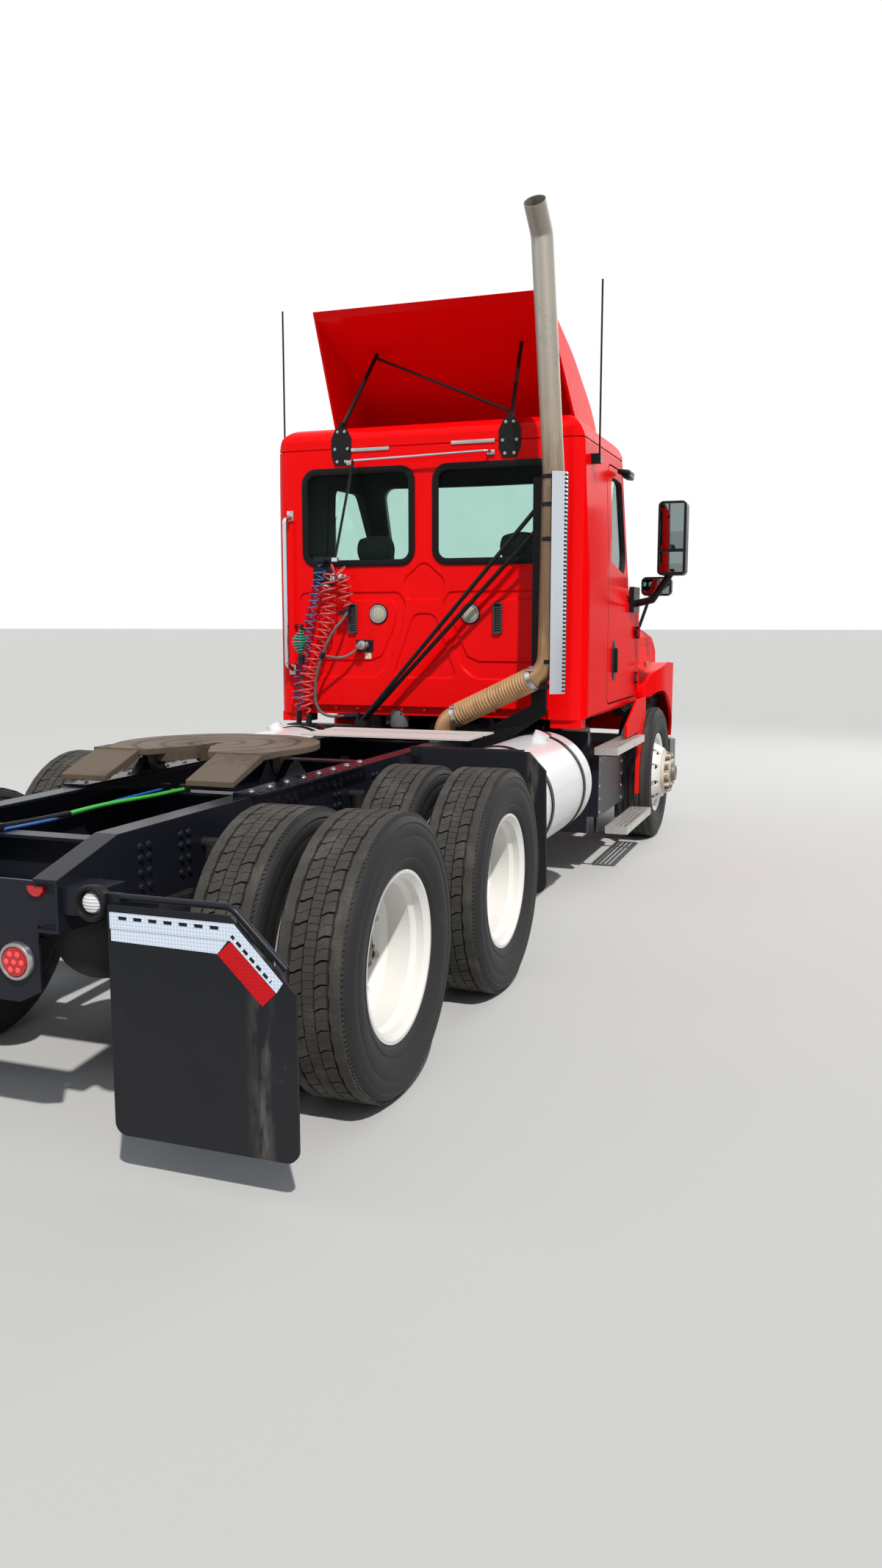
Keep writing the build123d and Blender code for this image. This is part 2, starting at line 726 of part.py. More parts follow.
def deflector():
    """Roof deflector: one moulded shell, open behind and below, seated on the roof."""
    shell = deflector_form(0) - deflector_form(deflector_wall)
    return (shell - cab_outer).solids().sort_by(SortBy.VOLUME)[-1]


def deflector_struts():
    """Hinge plates on the rear wall, two struts to the deflector and the brace between them."""
    base = roof_top_z
    plate = [(530, base - 255), (620, base - 255), (645, base - 190), (645, base - 80), (610, base - 15),
             (540, base - 15), (505, base - 80), (505, base - 190)]
    body = end_prism(plate, cab_rear_x - 8, cab_rear_x)
    body += block(cab_rear_x - 10, cab_rear_x + 60, 565, 590, base - 90, base + 20)
    body += rod((cab_rear_x + 20, 578, base - 10), (1010, 510, base + 550), 13)
    pair = body + other_side(body)
    pair += rod((970, 512, base + 510), (cab_rear_x + 60, -572, base + 30), 9)
    return pair - cab_outer - deflector_shell


deflector_shell = deflector()
save("roof_deflector", deflector_shell)


# Hood

def hood_form(inset):
    """Hood and fenders as one outer form, or the hollow under them."""
    top = [(hood_rear_x - 60, 1790), (2900, 1725), (3450, 1580), (3700, 1420), (3778, 1150), (3790, 900),
           (3770, hood_bottom_z - 60), (hood_rear_x - 60, hood_bottom_z - 60)]
    top = [(x - (inset if x > 3600 else 0), z - inset) for x, z in top]
    centre = side_prism(top, -1000, 1000, [5, 900, 500, 150, 200, 60, 5, 5])
    across = [(-1076, 700), (1076, 700), (1076, 1480), (940, 1690), (620, 1800), (-620, 1800), (-940, 1690),
              (-1076, 1480)]
    across = [(y - (inset if y > 0 else -inset), z - inset) for y, z in across]
    centre &= end_prism(across, hood_rear_x - 60, 3900, [5, 5, 200, 250, 300, 300, 250, 200])
    fender = [(2360, 700), (2360, 1180), (2520, 1330), (2900, 1400), (3350, 1380), (3690, 1180), (3770, 960),
              (3770, 700)]
    fender = [(x - (inset if x > 3000 else -inset), z - inset) for x, z in fender]
    wing = side_prism(fender, inset - fender_half_width, fender_half_width - inset,
                      [5, 150, 300, 400, 400, 250, 60, 5])
    plan = [(hood_rear_x - 60, inset - 1090), (2700, inset - fender_half_width), (3330, inset - fender_half_width),
            (3640, inset - 1000), (3790 - inset, -430), (3790 - inset, 430), (3640, 1000 - inset),
            (3330, fender_half_width - inset), (2700, fender_half_width - inset), (hood_rear_x - 60, 1090 - inset)]
    bound = plan_prism(plan, 600, 1900, [5, 900, 350, 300, 250, 250, 300, 350, 900, 5])
    return (centre + wing) & bound


grille_half_width = 420
grille_z = (820, 1340)
grille_depth = 60


def grille_prism(grow):
    """The grille's outline from the front."""
    low, high = grille_z
    return end_prism([(-grille_half_width - grow, low - grow), (grille_half_width + grow, low - grow),
                      (grille_half_width + 40 + grow, high + grow), (-grille_half_width - 40 - grow, high + grow)],
                     3500, 3900, 60)


lamp_window = [(620, 880), (1010, 940), (1080, 1110), (650, 1080)]


def lamp_prism(side):
    """A head lamp's outline from the front."""
    return end_prism([(side * y, z) for y, z in lamp_window], 3200, 3900, 40)


hood_outer = hood_form(0)
hood_walls = hood_outer - hood_form(hood_wall)


def hood_shell():
    """Hood with fenders, open below and behind, with wheel arches, grille opening, lamp openings and hinge arms."""
    behind = bowed_plan(500, 1500, screen_base_x + hood_gap, screen_bulge, cab_half_width)
    behind += bowed_plan(500, 1500, screen_base_x + hood_gap - screen_bulge, 1, 1500)
    body = hood_walls - extrude(behind, amount=1600) - block(0, 4000, -1500, 1500, 500, hood_bottom_z)
    body -= cross_bar(steer_x, 560, 1500, wheel_radius, arch_radius)
    body -= cross_bar(steer_x, -1500, -560, wheel_radius, arch_radius)
    body -= block(2200, steer_x, -1500, 1500, 500, 1140)
    body -= grille_prism(0)
    body -= lamp_prism(1)
    body -= lamp_prism(-1)
    arm = [(hood_pivot_x - 4, hood_pivot_z - 22), (hood_pivot_x - 110, hood_pivot_z + 40),
           (hood_pivot_x - 80, hood_pivot_z + 168), (hood_front_x - 14, hood_pivot_z + 160),
           (hood_front_x - 14, hood_pivot_z + 124), (hood_pivot_x - 50, hood_pivot_z + 130),
           (hood_pivot_x - 72, hood_pivot_z + 60), (hood_pivot_x + 4, hood_pivot_z + 22)]
    for side in (1, -1):
        y0, y1 = sorted((side * 285, side * 315))
        body += side_prism(arm, y0, y1)
        body += cross_bar(hood_pivot_x, y0, y1, hood_pivot_z, 30)
        body -= cross_bar(hood_pivot_x, y0 - 1, y1 + 1, hood_pivot_z, hood_pin_radius + running_gap)
    return body


def grille():
    """Grille: a frame with level bars, set in the hood's opening."""
    ring = (hood_outer & grille_prism(0)) - hood_form(grille_depth)
    hole = ring - grille_prism(-40)
    low, high = grille_z
    count = 7
    pitch = (high - low - 80) / count
    bars = [ring & block(3500, 3900, -600, 600, low + 40 + pitch * (step + 0.3), low + 40 + pitch * (step + 0.7))
            for step in range(count)]
    for bar in bars:
        hole += bar
    return hole


def head_lamps():
    """Head lamps that fill the openings of the fenders."""
    body = []
    for side in (1, -1):
        body += ((hood_outer & lamp_prism(side)) - hood_form(hood_wall + 30)).solids()
    return Compound(children=body)


def hood_mirrors():
    """Round-cornered mirrors on stems from the hood."""
    head = block(2860, 2930, 1000, 1240, 1930, 2080)
    head = fillet(head.edges().filter_by(Axis.X), 40)
    head += rod((2800, 960, 1560), (2880, 1080, 1960), 13)
    return both_sides(head - hood_outer)


save("hood", hood_shell())
save("grille", grille())
save("head_lamps", head_lamps())
save("hood_mirrors", hood_mirrors())


# Bumper

def bumper():
    """Front bumper: a wall bowed in plan with wrapped ends, carried by two arms from the front member."""
    half = fender_half_width
    plan = [(3480, -half), (3700, 95 - half), (3820, -520), (3820, 520), (3700, half - 95), (3480, half),
            (3440, half - 40), (3668, half - 130), (3780, 500), (3780, -500), (3668, 130 - half), (3440, 40 - half)]
    body = plan_prism(plan, 330, 722, [2, 200, 500, 500, 200, 2, 2, 160, 460, 460, 160, 2])
    body -= end_prism([(-380, 420), (380, 420), (350, 560), (-350, 560)], 3700, 3900, 40)
    for side in (1, -1):
        y0, y1 = sorted((side * 350, side * 422))
        body += side_prism([(rail_front_x, 740), (rail_front_x, 800), (3640, 800), (3785, 600), (3785, 500)], y0, y1)
    return body


save("bumper", bumper())


# Fuel tanks, straps, steps and side panels

strap_xs = (-470, 300)


def fuel_tank():
    """Left fuel tank: a drum with rounded ends, a filler neck and two saddles on the rail."""
    tank = rod((tank_rear_x, tank_y, tank_z), (tank_front_x, tank_y, tank_z), tank_radius)
    tank = fillet(tank.edges(), 38)
    neck_x = tank_front_x - 400
    tank += rod((neck_x, tank_y + 60, tank_z + 280), (neck_x, tank_y + 90, tank_z + 340), 48)
    return tank


def tank_straps():
    """Two bands round the left tank with the brackets that carry it on the rail."""
    body = []
    for x in strap_xs:
        band = rod((x - 22, tank_y, tank_z), (x + 22, tank_y, tank_z), tank_radius + 7)
        saddle = side_prism([(x - 35, 420), (x + 35, 420), (x + 35, 1010), (x - 35, 1010)], rail_outer_y, 640)
        band += saddle
        band -= rod((x - 60, tank_y, tank_z), (x + 60, tank_y, tank_z), tank_radius)
        body += band.solids()
    return Compound(children=body)


step_table = (("lower", 1200, 2150, 1085, 1240, 320), ("upper", 1000, 2030, 1045, 1200, 885))


def steps():
    """Slatted treads of the left side."""
    body = []
    for name, x0, x1, y0, y1, z in step_table:
        tread = block(x0, x1, y0, y1, z - 50, z)
        for index in range(4):
            slot_y = y0 + 20 + index * 33
            tread -= block(x0 + 30, x1 - 30, slot_y, slot_y + 14, z - 60, z + 10)
        tread -= block(x0 + 8, x1 - 8, y0 + 8, y1 - 8, z - 60, z - 10)
        body += tread.solids()
    return Compound(children=body)


def step_boxes():
    """Battery box and step brackets of the left side, hung on the rail."""
    body = block(1080, 1900, 620, 1060, 400, 830)
    body += block(1150, 1220, rail_outer_y, 640, 760, 1000)
    body += block(1700, 1770, rail_outer_y, 640, 760, 1000)
    for x in (1240, 1960):
        body += block(x - 15, x + 15, 1000, 1220, 262, 270)
        body += block(x - 15, x + 15, 1000, 1020, 262, 500)
    body += block(1230, 1990, 1000, 1060, 400, 500)
    for x in (1130, 1820):
        body += block(x - 15, x + 15, 1000, 1185, 815, 835)
    body += block(1000, 1060, 640, 1000, 300, 985)
    body += block(1000, 1090, rail_outer_y, 700, 900, 985)
    body += block(1880, 2090, 1040, 1060, 600, 760)
    body += block(2060, 2090, 1060, 1130, 600, 760)
    return body


def fender_panels():
    """Left panel between the step and the steered wheel, its front edge round the arch."""
    outline = [(2340, 1150), (2010, 1150), (1600, 985), (1600, 900), (2045, 900), (2045, 430), (2340, 430)]
    body = side_prism(outline, cab_half_width + 54, cab_half_width + 74, 8)
    body -= cross_bar(steer_x, 1000, 1300, wheel_radius, arch_radius - 55)
    return body


save("fuel_tanks", both_sides(fuel_tank()))
save("tank_straps", both_sides(tank_straps()))
save("steps", both_sides(steps()))
save("step_boxes", both_sides(step_boxes()))
save("fender_panels", both_sides(fender_panels()))


# Deck and flaps

def deck_plates():
    """Aluminium tread plates on the frame behind the cab."""
    body = [block(-330, -60, -600, 470, rail_top_z + 18, rail_top_z + 28),
            block(0, 160, -600, 470, rail_top_z + 18, rail_top_z + 28)]
    for index in range(2):
        for side in (1, -1):
            y0, y1 = sorted((side * 350, side * 400))
            x0 = -300 if index == 0 else 30
            body[index] += block(x0, x0 + 90, y0, y1, rail_top_z, rail_top_z + 20)
    return Compound(children=[solid for one in body for solid in one.solids()])


def mud_flap():
    """Left rear flap: a rubber sheet with its upper outer corner cut off."""
    outline = [(610, 870), (1020, 870), (1235, 660), (1235, 150), (610, 150)]
    return end_prism(outline, rail_rear_x + 0, rail_rear_x + 12, [4, 4, 4, 40, 40])


strip_slot_count = 7


def flap_hanger():
    """Left spring hanger: a bent bar from the rail along the flap's top edge, with its bracket."""
    x = rail_rear_x + 34
    path = FilletPolyline((x, 620, 890), (x, 1015, 890), (x, 1190, 720), radius=60)
    bar = sweep(Plane(origin=path @ 0, z_dir=path % 0) * Circle(11), path)
    bar += block(x - 12, x + 12, 540, 640, 830, 900)
    bar += block(x - 12, x + 130, rail_outer_y, 560, 820, 905)
    band = [(620, 800), (1030, 800), (1175, 660), (1195, 690), (1040, 850), (620, 850)]
    bar += end_prism(band, rail_rear_x + 12, x - 9)
    strip = end_prism(band, rail_rear_x - 4, rail_rear_x)
    for index in range(strip_slot_count):
        slot_y = 650 + index * 52
        strip -= block(rail_rear_x - 5, rail_rear_x + 1, slot_y, slot_y + 30, 828, 840)
    return together(bar, strip)


def guard_flap():
    """Left guard ahead of the front drive wheel, on a bracket from the rail."""
    outline = [(500, 1045), (1100, 1045), (1190, 950), (1200, 300), (500, 300)]
    body = end_prism(outline, -835, -815, [5, 5, 5, 60, 60])
    body += block(-815, -775, rail_outer_y, 1060, 1000, 1050)
    return body


save("deck_plates", deck_plates())
save("mud_flaps", together(both_sides(mud_flap()), both_sides(guard_flap())))
save("flap_hangers", both_sides(flap_hanger()))


# Exhaust


def exhaust_stack():
    """Exhaust: elbow from under the deck, flexible run, upright stack leaning inboard, curved tip."""
    path = FilletPolyline((330, -215, 860), (330, -215, 1090), (280, -560, 1250), (200, -925, 1420),
                          (200, -945, 2585), (200, -860, 3920), (60, -852, 4060), radius=(120, 150, 150, 900, 80))
    pipe = sweep(Plane(origin=path @ 0, z_dir=path % 0) * Circle(stack_radius), path)
    tip = path @ 1
    inner = rod(tip + (path % 1) * -150, tip + (path % 1) * 10, stack_radius - 4)
    return pipe - inner


def heat_shield():
    """Polished shield round the outboard side of the lower stack."""
    ring = rod((stack_x, -940, 1290), (stack_x, -940, 2585), stack_radius + 26)
    ring -= rod((stack_x, -940, 1280), (stack_x, -940, 2595), stack_radius + 22)
    for z in (1620, 1980, 2300):
        ring += rod((stack_x, -940, z), (stack_x, -940, z + 20), stack_radius + 24)
    return (ring & block(stack_x - 100, stack_x + 60, -1100, -960, 1280, 2600)) - exhaust_form


def stack_bracket():
    """Upright post with rungs to the pipe, a foot on the rail and two braces."""
    body = block(330, 375, -880, -835, 1180, 2600)
    for z in (1330, 1480, 2200, 2400, 2560):
        body += rod((350, -860, z), (stack_x + 55, -925, z), 8)
        body += rod((stack_x, -945, z - 12), (stack_x, -945, z + 12), stack_radius + 5)
    body += end_prism([(-880, 1230), (-835, 1230), (-432, 1020), (-432, 900), (-520, 900), (-880, 1150)], 340, 365)
    body += rod((350, -850, 2450), (400, 400, 1060), 14)
    body += rod((360, -850, 2320), (440, 395, 1060), 14)
    body += block(370, 470, 350, 425, rail_top_z, 1075)
    return body - exhaust_form


exhaust_form = exhaust_stack()
save("exhaust_stack", exhaust_form)
save("heat_shield", heat_shield())


# Aerials, grab handles, hose hanger and rear wall fittings

def aerials():
    """Whip aerials on the cab sides."""
    body = block(725, 775, cab_half_width - 45, cab_half_width + 35, 2700, 2760)
    body += rod((750, cab_half_width + 22, 2750), (750, cab_half_width + 22, 3800), 6)
    return both_sides(body - cab_outer)


def grab_handle():
    """Bent stainless handle at the cab's left rear corner."""
    x = cab_rear_x
    path = FilletPolyline((x, 955, 2420), (x - 70, 965, 2390), (x - 70, 965, 1430), (x, 955, 1395), radius=25)
    return sweep(Plane(origin=path @ 0, z_dir=path % 0) * Circle(16), path)


def hose_rail():
    """Chrome rail under the roof seam, with the tension spring that carries the hoses."""
    x = cab_rear_x - 60
    path = FilletPolyline((cab_rear_x, 500, 2755), (x, 480, 2755), (x, -440, 2775), (cab_rear_x, -460, 2775),
                          radius=30)
    bar = sweep(Plane(origin=path @ 0, z_dir=path % 0) * Circle(8), path)
    bar += rod((x, 465, 2765), (x - 30, 590, 2130), 9)
    bar += rod((x - 30, 590, 2110), (x - 30, 590, 2135), 26)
    return bar


def rear_wall_fittings():
    """Work lamps and vents on the rear wall."""
    body = []
    for side in (1, -1):
        body.append(rod((cab_rear_x - 18, side * 320, 1770), (cab_rear_x, side * 320, 1770), 62))
        y0, y1 = sorted((side * 475, side * 535))
        body.append(block(cab_rear_x - 22, cab_rear_x, y0, y1, 1640, 1840))
    return Compound(children=body)


save("stack_bracket", stack_bracket())
save("deflector_struts", deflector_struts())
save("aerials", aerials())
save("chrome_rails", together(grab_handle() - cab_outer, hose_rail() - cab_outer))
save("rear_wall_fittings", rear_wall_fittings())


# Fifth wheel

def fifth_wheel_plate():
    """Top plate: round front, a wedge throat to the kingpin jaw, two bent down ramps and the pivot ears."""
    half = fifth_half_width
    top = rod((kingpin_x, 0, fifth_top_z - fifth_plate), (kingpin_x, 0, fifth_top_z), half)
    top &= block(kingpin_x - 330, kingpin_x + 440, -half, half, 1000, 1200)
    top += block(kingpin_x - 330, kingpin_x, -half + 40, half - 40, fifth_top_z - fifth_plate, fifth_top_z)
    for side in (1, -1):
        y0, y1 = sorted((side * 190, side * 405))
        ramp = [(kingpin_x - 300, fifth_top_z), (kingpin_x - 330, fifth_top_z - 6),
                (kingpin_x - 570, fifth_top_z - 88), (kingpin_x - 570, fifth_top_z - 110),
                (kingpin_x - 320, fifth_top_z - 32), (kingpin_x - 300, fifth_top_z - 26)]
        top += side_prism(ramp, y0, y1)
        y0, y1 = sorted((side * 300, side * 340))
        ear = side_prism([(kingpin_x - 60, fifth_top_z - 20), (kingpin_x + 60, fifth_top_z - 20),
                          (kingpin_x + 34, fifth_pivot_z - 20), (kingpin_x - 34, fifth_pivot_z - 20)], y0, y1)
        ear += cross_bar(kingpin_x, y0, y1, fifth_pivot_z, 44)
        ear -= cross_bar(kingpin_x, y0 - 1, y1 + 1, fifth_pivot_z, fifth_pivot_radius + running_gap)
        top += ear
    top += rod((kingpin_x, 0, fifth_top_z - 75), (kingpin_x, 0, fifth_top_z - 20), 95)
    top += block(kingpin_x - 250, kingpin_x + 300, -150, 150, fifth_top_z - 60, fifth_top_z - 20)
    throat = [(kingpin_x - 700, -190), (kingpin_x - 330, -150), (kingpin_x - 120, -38),
              (kingpin_x - 18, -18), (kingpin_x - 18, 18), (kingpin_x - 120, 38), (kingpin_x - 330, 150),
              (kingpin_x - 700, 190)]
    top -= plan_prism(throat, 1000, 1300)
    top -= rod((kingpin_x, 0, 1000), (kingpin_x, 0, 1300), jaw_radius)
    return top


slot_count = 14
slot_pitch = 78


def fifth_wheel_mounts():
    """Slotted angles on the rails with the pivot brackets and their pins."""
    body = []
    for side in (1, -1):
        y0, y1 = sorted((side * 350, side * 470))
        one = block(kingpin_x - 480, kingpin_x + 620, y0, y1, rail_top_z, rail_top_z + 12)
        for index in range(slot_count):
            slot_x = kingpin_x - 460 + index * slot_pitch
            slot_y0, slot_y1 = sorted((side * 445, side * 461))
            one -= block(slot_x, slot_x + 46, slot_y0, slot_y1, rail_top_z - 1, rail_top_z + 13)
        y0, y1 = sorted((side * 345, side * 385))
        one += side_prism([(kingpin_x - 120, rail_top_z + 12), (kingpin_x + 120, rail_top_z + 12),
                           (kingpin_x + 40, fifth_pivot_z + 10), (kingpin_x - 40, fifth_pivot_z + 10)], y0, y1)
        one += cross_bar(kingpin_x, side * 290, side * 385, fifth_pivot_z, fifth_pivot_radius)
        body += one.solids()
    return Compound(children=body)


save("fifth_wheel_plate", fifth_wheel_plate())
save("fifth_wheel_mounts", fifth_wheel_mounts())


# Air hoses and cable behind the cab

coil_radii = {"hose_red": 44, "hose_blue": 36, "hose_green": 42, "hose_cable": 10, "hose_lead": 9}
hose_routes = {
    "hose_red": [(472, 525, 1800), (465, 522, 2058), (440, 645, 2058), (428, 622, 1800), (415, 662, 1665),
                 (410, 728, 1515), (405, 782, 1369), (402, 800, 1222), (405, 778, 1100)],
    "hose_blue": [(490, 706, 2110), (484, 732, 1990), (480, 761, 1853), (478, 802, 1692), (478, 850, 1496),
                  (478, 890, 1290), (478, 888, 1120)],
    "hose_green": [(388, 812, 1665), (384, 838, 1585), (392, 822, 1500)],
    "hose_cable": [(449, 508, 1778), (405, 512, 1740), (360, 550, 1680), (342, 590, 1610), (338, 639, 1500),
                   (337, 680, 1380), (337, 694, 1270), (337, 692, 1190), (341, 662, 1125), (356, 610, 1100),
                   (376, 560, 1097), (392, 512, 1100)],
    "hose_lead": [(497, 452, 1545), (480, 490, 1507), (440, 545, 1482), (400, 596, 1484), (352, 632, 1499)],
}


def corner_radii(points):
    """The largest arc that each corner's two runs allow."""
    spots = [Vector(*point) for point in points]
    radii = []
    for before, corner, after in zip(spots, spots[1:], spots[2:]):
        arriving = corner - before
        leaving = after - corner
        half_turn = radians(arriving.get_angle(leaving) / 2)
        radii.append(0.45 * min(arriving.length, leaving.length) / tan(half_turn))
    return radii


def hose(points, radius):
    """A round tube along a route; a coiled hose is one fat tube of its outer form."""
    path = FilletPolyline(*points, radius=corner_radii(points))
    return sweep(Plane(origin=path @ 0, z_dir=path % 0) * Circle(radius), path)


def hose_fittings(hoses):
    """Holder plate, wall couplings, cable socket and the bracket on the rail that the hoses end in."""
    wall = cab_rear_x
    red, blue, green = hose_routes["hose_red"], hose_routes["hose_blue"], hose_routes["hose_green"]
    plate = block(wall - 8, wall, 640, 790, 1960, 2150)
    plate += block(wall - 80, wall - 8, 676, 736, blue[0][2], blue[0][2] + 14)
    holder = block(480, wall, 542, 568, 1764, 1792) + block(450, 500, 500, 568, 1764, 1792)
    holder += rod((472, 525, 1780), red[0], 20)
    arm = rod((wall - 5, 925, 1690), (388, green[0][1], 1690), 6) + block(wall - 8, wall, 913, 937, 1678, 1702)
    arm += rod((388, green[0][1], 1702), (388, green[0][1], green[0][2] - 12), 12)
    plug = rod(green[-1], (394, 818, 1440), 22)
    coupling = block(wall - 8, wall, 360, 480, 1520, 1600) + rod((wall, 420, 1560), (490, 420, 1560), 26)
    coupling += rod((497, 452, 1545), (497, 400, 1572), 15)
    socket = block(392, 426, 407, 425, rail_top_z + 55, 1125) + rod((394, 505, 1100), (409, 424, 1103), 22)
    clip = rod((338.6, 631, 1518), (337.6, 647, 1482), 17)
    shelf_z = tank_z + tank_radius + 4
    shelf = block(372, 500, rail_outer_y, 925, shelf_z, shelf_z + 8)
    shelf += block(372, 500, rail_outer_y, rail_outer_y + 8, rail_top_z - 80, shelf_z)
    shelf += rod((red[-1][0], red[-1][1], shelf_z), red[-1], 20)
    shelf += rod((blue[-1][0], blue[-1][1], shelf_z), blue[-1], 18)
    fittings = []
    for one in (plate, holder, arm, plug, coupling, socket, clip, shelf):
        for tube in hoses:
            one = one - tube
        fittings.append(one)
    return together(*fittings)


hose_shapes = []
for name, points in hose_routes.items():
    print(name, "radii", [round(radius) for radius in corner_radii(points)])
    hose_shapes.append(hose(points, coil_radii[name]))
    save(name, hose_shapes[-1])

save("hose_fittings", hose_fittings(hose_shapes))
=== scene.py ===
from math import cos, pi, radians, sin, sqrt

import bmesh
import bpy
from mathutils import Matrix, Vector


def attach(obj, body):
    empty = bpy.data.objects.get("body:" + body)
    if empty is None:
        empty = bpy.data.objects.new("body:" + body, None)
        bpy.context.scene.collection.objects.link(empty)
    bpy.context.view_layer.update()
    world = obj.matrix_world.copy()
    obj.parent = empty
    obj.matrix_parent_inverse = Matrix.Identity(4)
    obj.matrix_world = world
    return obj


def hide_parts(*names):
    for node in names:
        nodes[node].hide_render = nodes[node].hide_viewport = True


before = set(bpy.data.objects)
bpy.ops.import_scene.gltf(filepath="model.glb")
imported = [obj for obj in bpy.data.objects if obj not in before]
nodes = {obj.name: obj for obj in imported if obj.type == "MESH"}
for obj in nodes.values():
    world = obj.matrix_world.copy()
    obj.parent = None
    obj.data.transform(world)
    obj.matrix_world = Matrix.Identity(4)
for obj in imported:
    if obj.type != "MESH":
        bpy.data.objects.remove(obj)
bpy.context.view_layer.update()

# Camera
# It stands behind the right rear wheels at a standing person's eye height and looks forward along the frame.
camera_data = bpy.data.cameras.new("camera")
camera_data.lens = 26.56
camera = bpy.data.objects.new("camera", camera_data)
camera.location = (-6.595, -2.696, 1.7)
camera.rotation_mode = "QUATERNION"
camera.rotation_quaternion = Vector((0.9313, 0.3364, -0.1364)).to_track_quat("-Z", "Y")
bpy.context.scene.collection.objects.link(camera)
bpy.context.scene.camera = camera


# Coiled air hoses and the trailer cable
# Two nylon air hoses and the lamp cable hang from the cab's rear wall in springy coils, with a plain rubber
# cable and a short lead beside them. Their ends screw into fittings on the wall and the frame.
hose_routes = {
    "hose_red": [(0.472, 0.525, 1.8), (0.465, 0.522, 2.058), (0.44, 0.645, 2.058), (0.428, 0.622, 1.8),
                 (0.415, 0.662, 1.665), (0.41, 0.728, 1.515), (0.405, 0.782, 1.369), (0.402, 0.8, 1.222),
                 (0.405, 0.778, 1.1)],
    "hose_blue": [(0.49, 0.706, 2.11), (0.484, 0.732, 1.99), (0.48, 0.761, 1.853), (0.478, 0.802, 1.692),
                  (0.478, 0.85, 1.496), (0.478, 0.89, 1.29), (0.478, 0.888, 1.12)],
    "hose_green": [(0.388, 0.812, 1.665), (0.384, 0.838, 1.585), (0.392, 0.822, 1.5)],
    "hose_cable": [(0.449, 0.508, 1.778), (0.405, 0.512, 1.74), (0.36, 0.55, 1.68), (0.342, 0.59, 1.61),
                   (0.338, 0.639, 1.5), (0.337, 0.68, 1.38), (0.337, 0.694, 1.27), (0.337, 0.692, 1.19),
                   (0.341, 0.662, 1.125), (0.356, 0.61, 1.1), (0.376, 0.56, 1.097), (0.392, 0.512, 1.1)],
    "hose_lead": [(0.497, 0.452, 1.545), (0.48, 0.49, 1.507), (0.44, 0.545, 1.482), (0.4, 0.596, 1.484),
                  (0.352, 0.632, 1.499)],
}
coil_tables = {
    # name: hose radius, coil radius, pitch between turns
    "hose_red": (0.0062, 0.051, 0.052),
    "hose_blue": (0.0052, 0.04, 0.047),
    "hose_green": (0.0075, 0.052, 0.0175),
}
hose_looks = {
    "hose_red": ((0.56, 0.055, 0.06), 0.3),
    "hose_blue": ((0.03, 0.1, 0.27), 0.3),
    "hose_green": ((0.01, 0.21, 0.14), 0.35),
    "hose_cable": ((0.07, 0.065, 0.06), 0.6),
    "hose_lead": ((0.11, 0.11, 0.105), 0.55),
}


def nurbs_spline(curve, points):
    """One open smooth spline with the points as its control points."""
    spline = curve.splines.new("NURBS")
    spline.points.add(len(points) - 1)
    for spot, place in zip(spline.points, points):
        spot.co = (*place, 1)
    spline.order_u = 3
    spline.use_endpoint_u = True
    return spline


def centre_line(points):
    """Points along the smooth line that a route gives."""
    curve = bpy.data.curves.new("route", "CURVE")
    curve.dimensions = "3D"
    curve.resolution_u = 16
    nurbs_spline(curve, points)
    holder = bpy.data.objects.new("route", curve)
    mesh = bpy.data.meshes.new_from_object(holder)
    line = [vertex.co.copy() for vertex in mesh.vertices]
    bpy.data.objects.remove(holder)
    bpy.data.meshes.remove(mesh)
    return line


def helix(points, coil_radius, pitch, tail):
    """Turns wound round a route, starting and ending on its line, a little uneven as hanging coils are."""
    line = centre_line(points)
    lengths = [0.0]
    for before, after in zip(line, line[1:]):
        lengths.append(lengths[-1] + (after - before).length)
    total = lengths[-1]
    per_turn = 14
    steps = int(total / pitch * per_turn)
    side = Vector((1, 0, 0))
    index = 0
    wound = []
    for step in range(steps + 1):
        along = total * step / steps
        while index < len(line) - 2 and lengths[index + 1] < along:
            index += 1
        share = (along - lengths[index]) / (lengths[index + 1] - lengths[index])
        centre = line[index].lerp(line[index + 1], share)
        ahead = (line[index + 1] - line[index]).normalized()
        side = (side - ahead * side.dot(ahead)).normalized()
        up = ahead.cross(side)
        turn = step / per_turn
        swell = 1 + 0.09 * sin(turn * 1.7) + 0.08 * sin(turn * 0.61 + 1.0)
        reach = coil_radius * swell * min(1.0, along / tail, (total - along) / tail)
        angle = 2 * pi * turn + 0.45 * sin(turn * 2.3)
        wound.append(centre + side * (reach * cos(angle)) + up * (reach * sin(angle)))
    return wound


def blank_material(name):
    """A new material with its node tree and main shader."""
    material = bpy.data.materials.new(name)
    material.use_nodes = True
    return material, material.node_tree, material.node_tree.nodes["Principled BSDF"]


def feed(tree, node, values):
    """Fills a node's inputs with numbers and colours, or links them to other nodes' outputs."""
    for socket, value in values.items():
        if isinstance(value, bpy.types.NodeSocket):
            tree.links.new(value, node.inputs[socket])
        else:
            node.inputs[socket].default_value = value


def add_node(tree, kind, values=None, **settings):
    """Adds a node with its settings and inputs."""
    node = tree.nodes.new(kind)
    for name, value in settings.items():
        setattr(node, name, value)
    feed(tree, node, values or {})
    return node


def object_place(tree):
    """The place of each point in the object's own frame."""
    return add_node(tree, "ShaderNodeTexCoord").outputs["Object"]


def noise(tree, place, scale=5.0, detail=2.0):
    """Soft clouds between 0 and 1."""
    return add_node(tree, "ShaderNodeTexNoise", {"Vector": place, "Scale": scale, "Detail": detail}).outputs["Fac"]


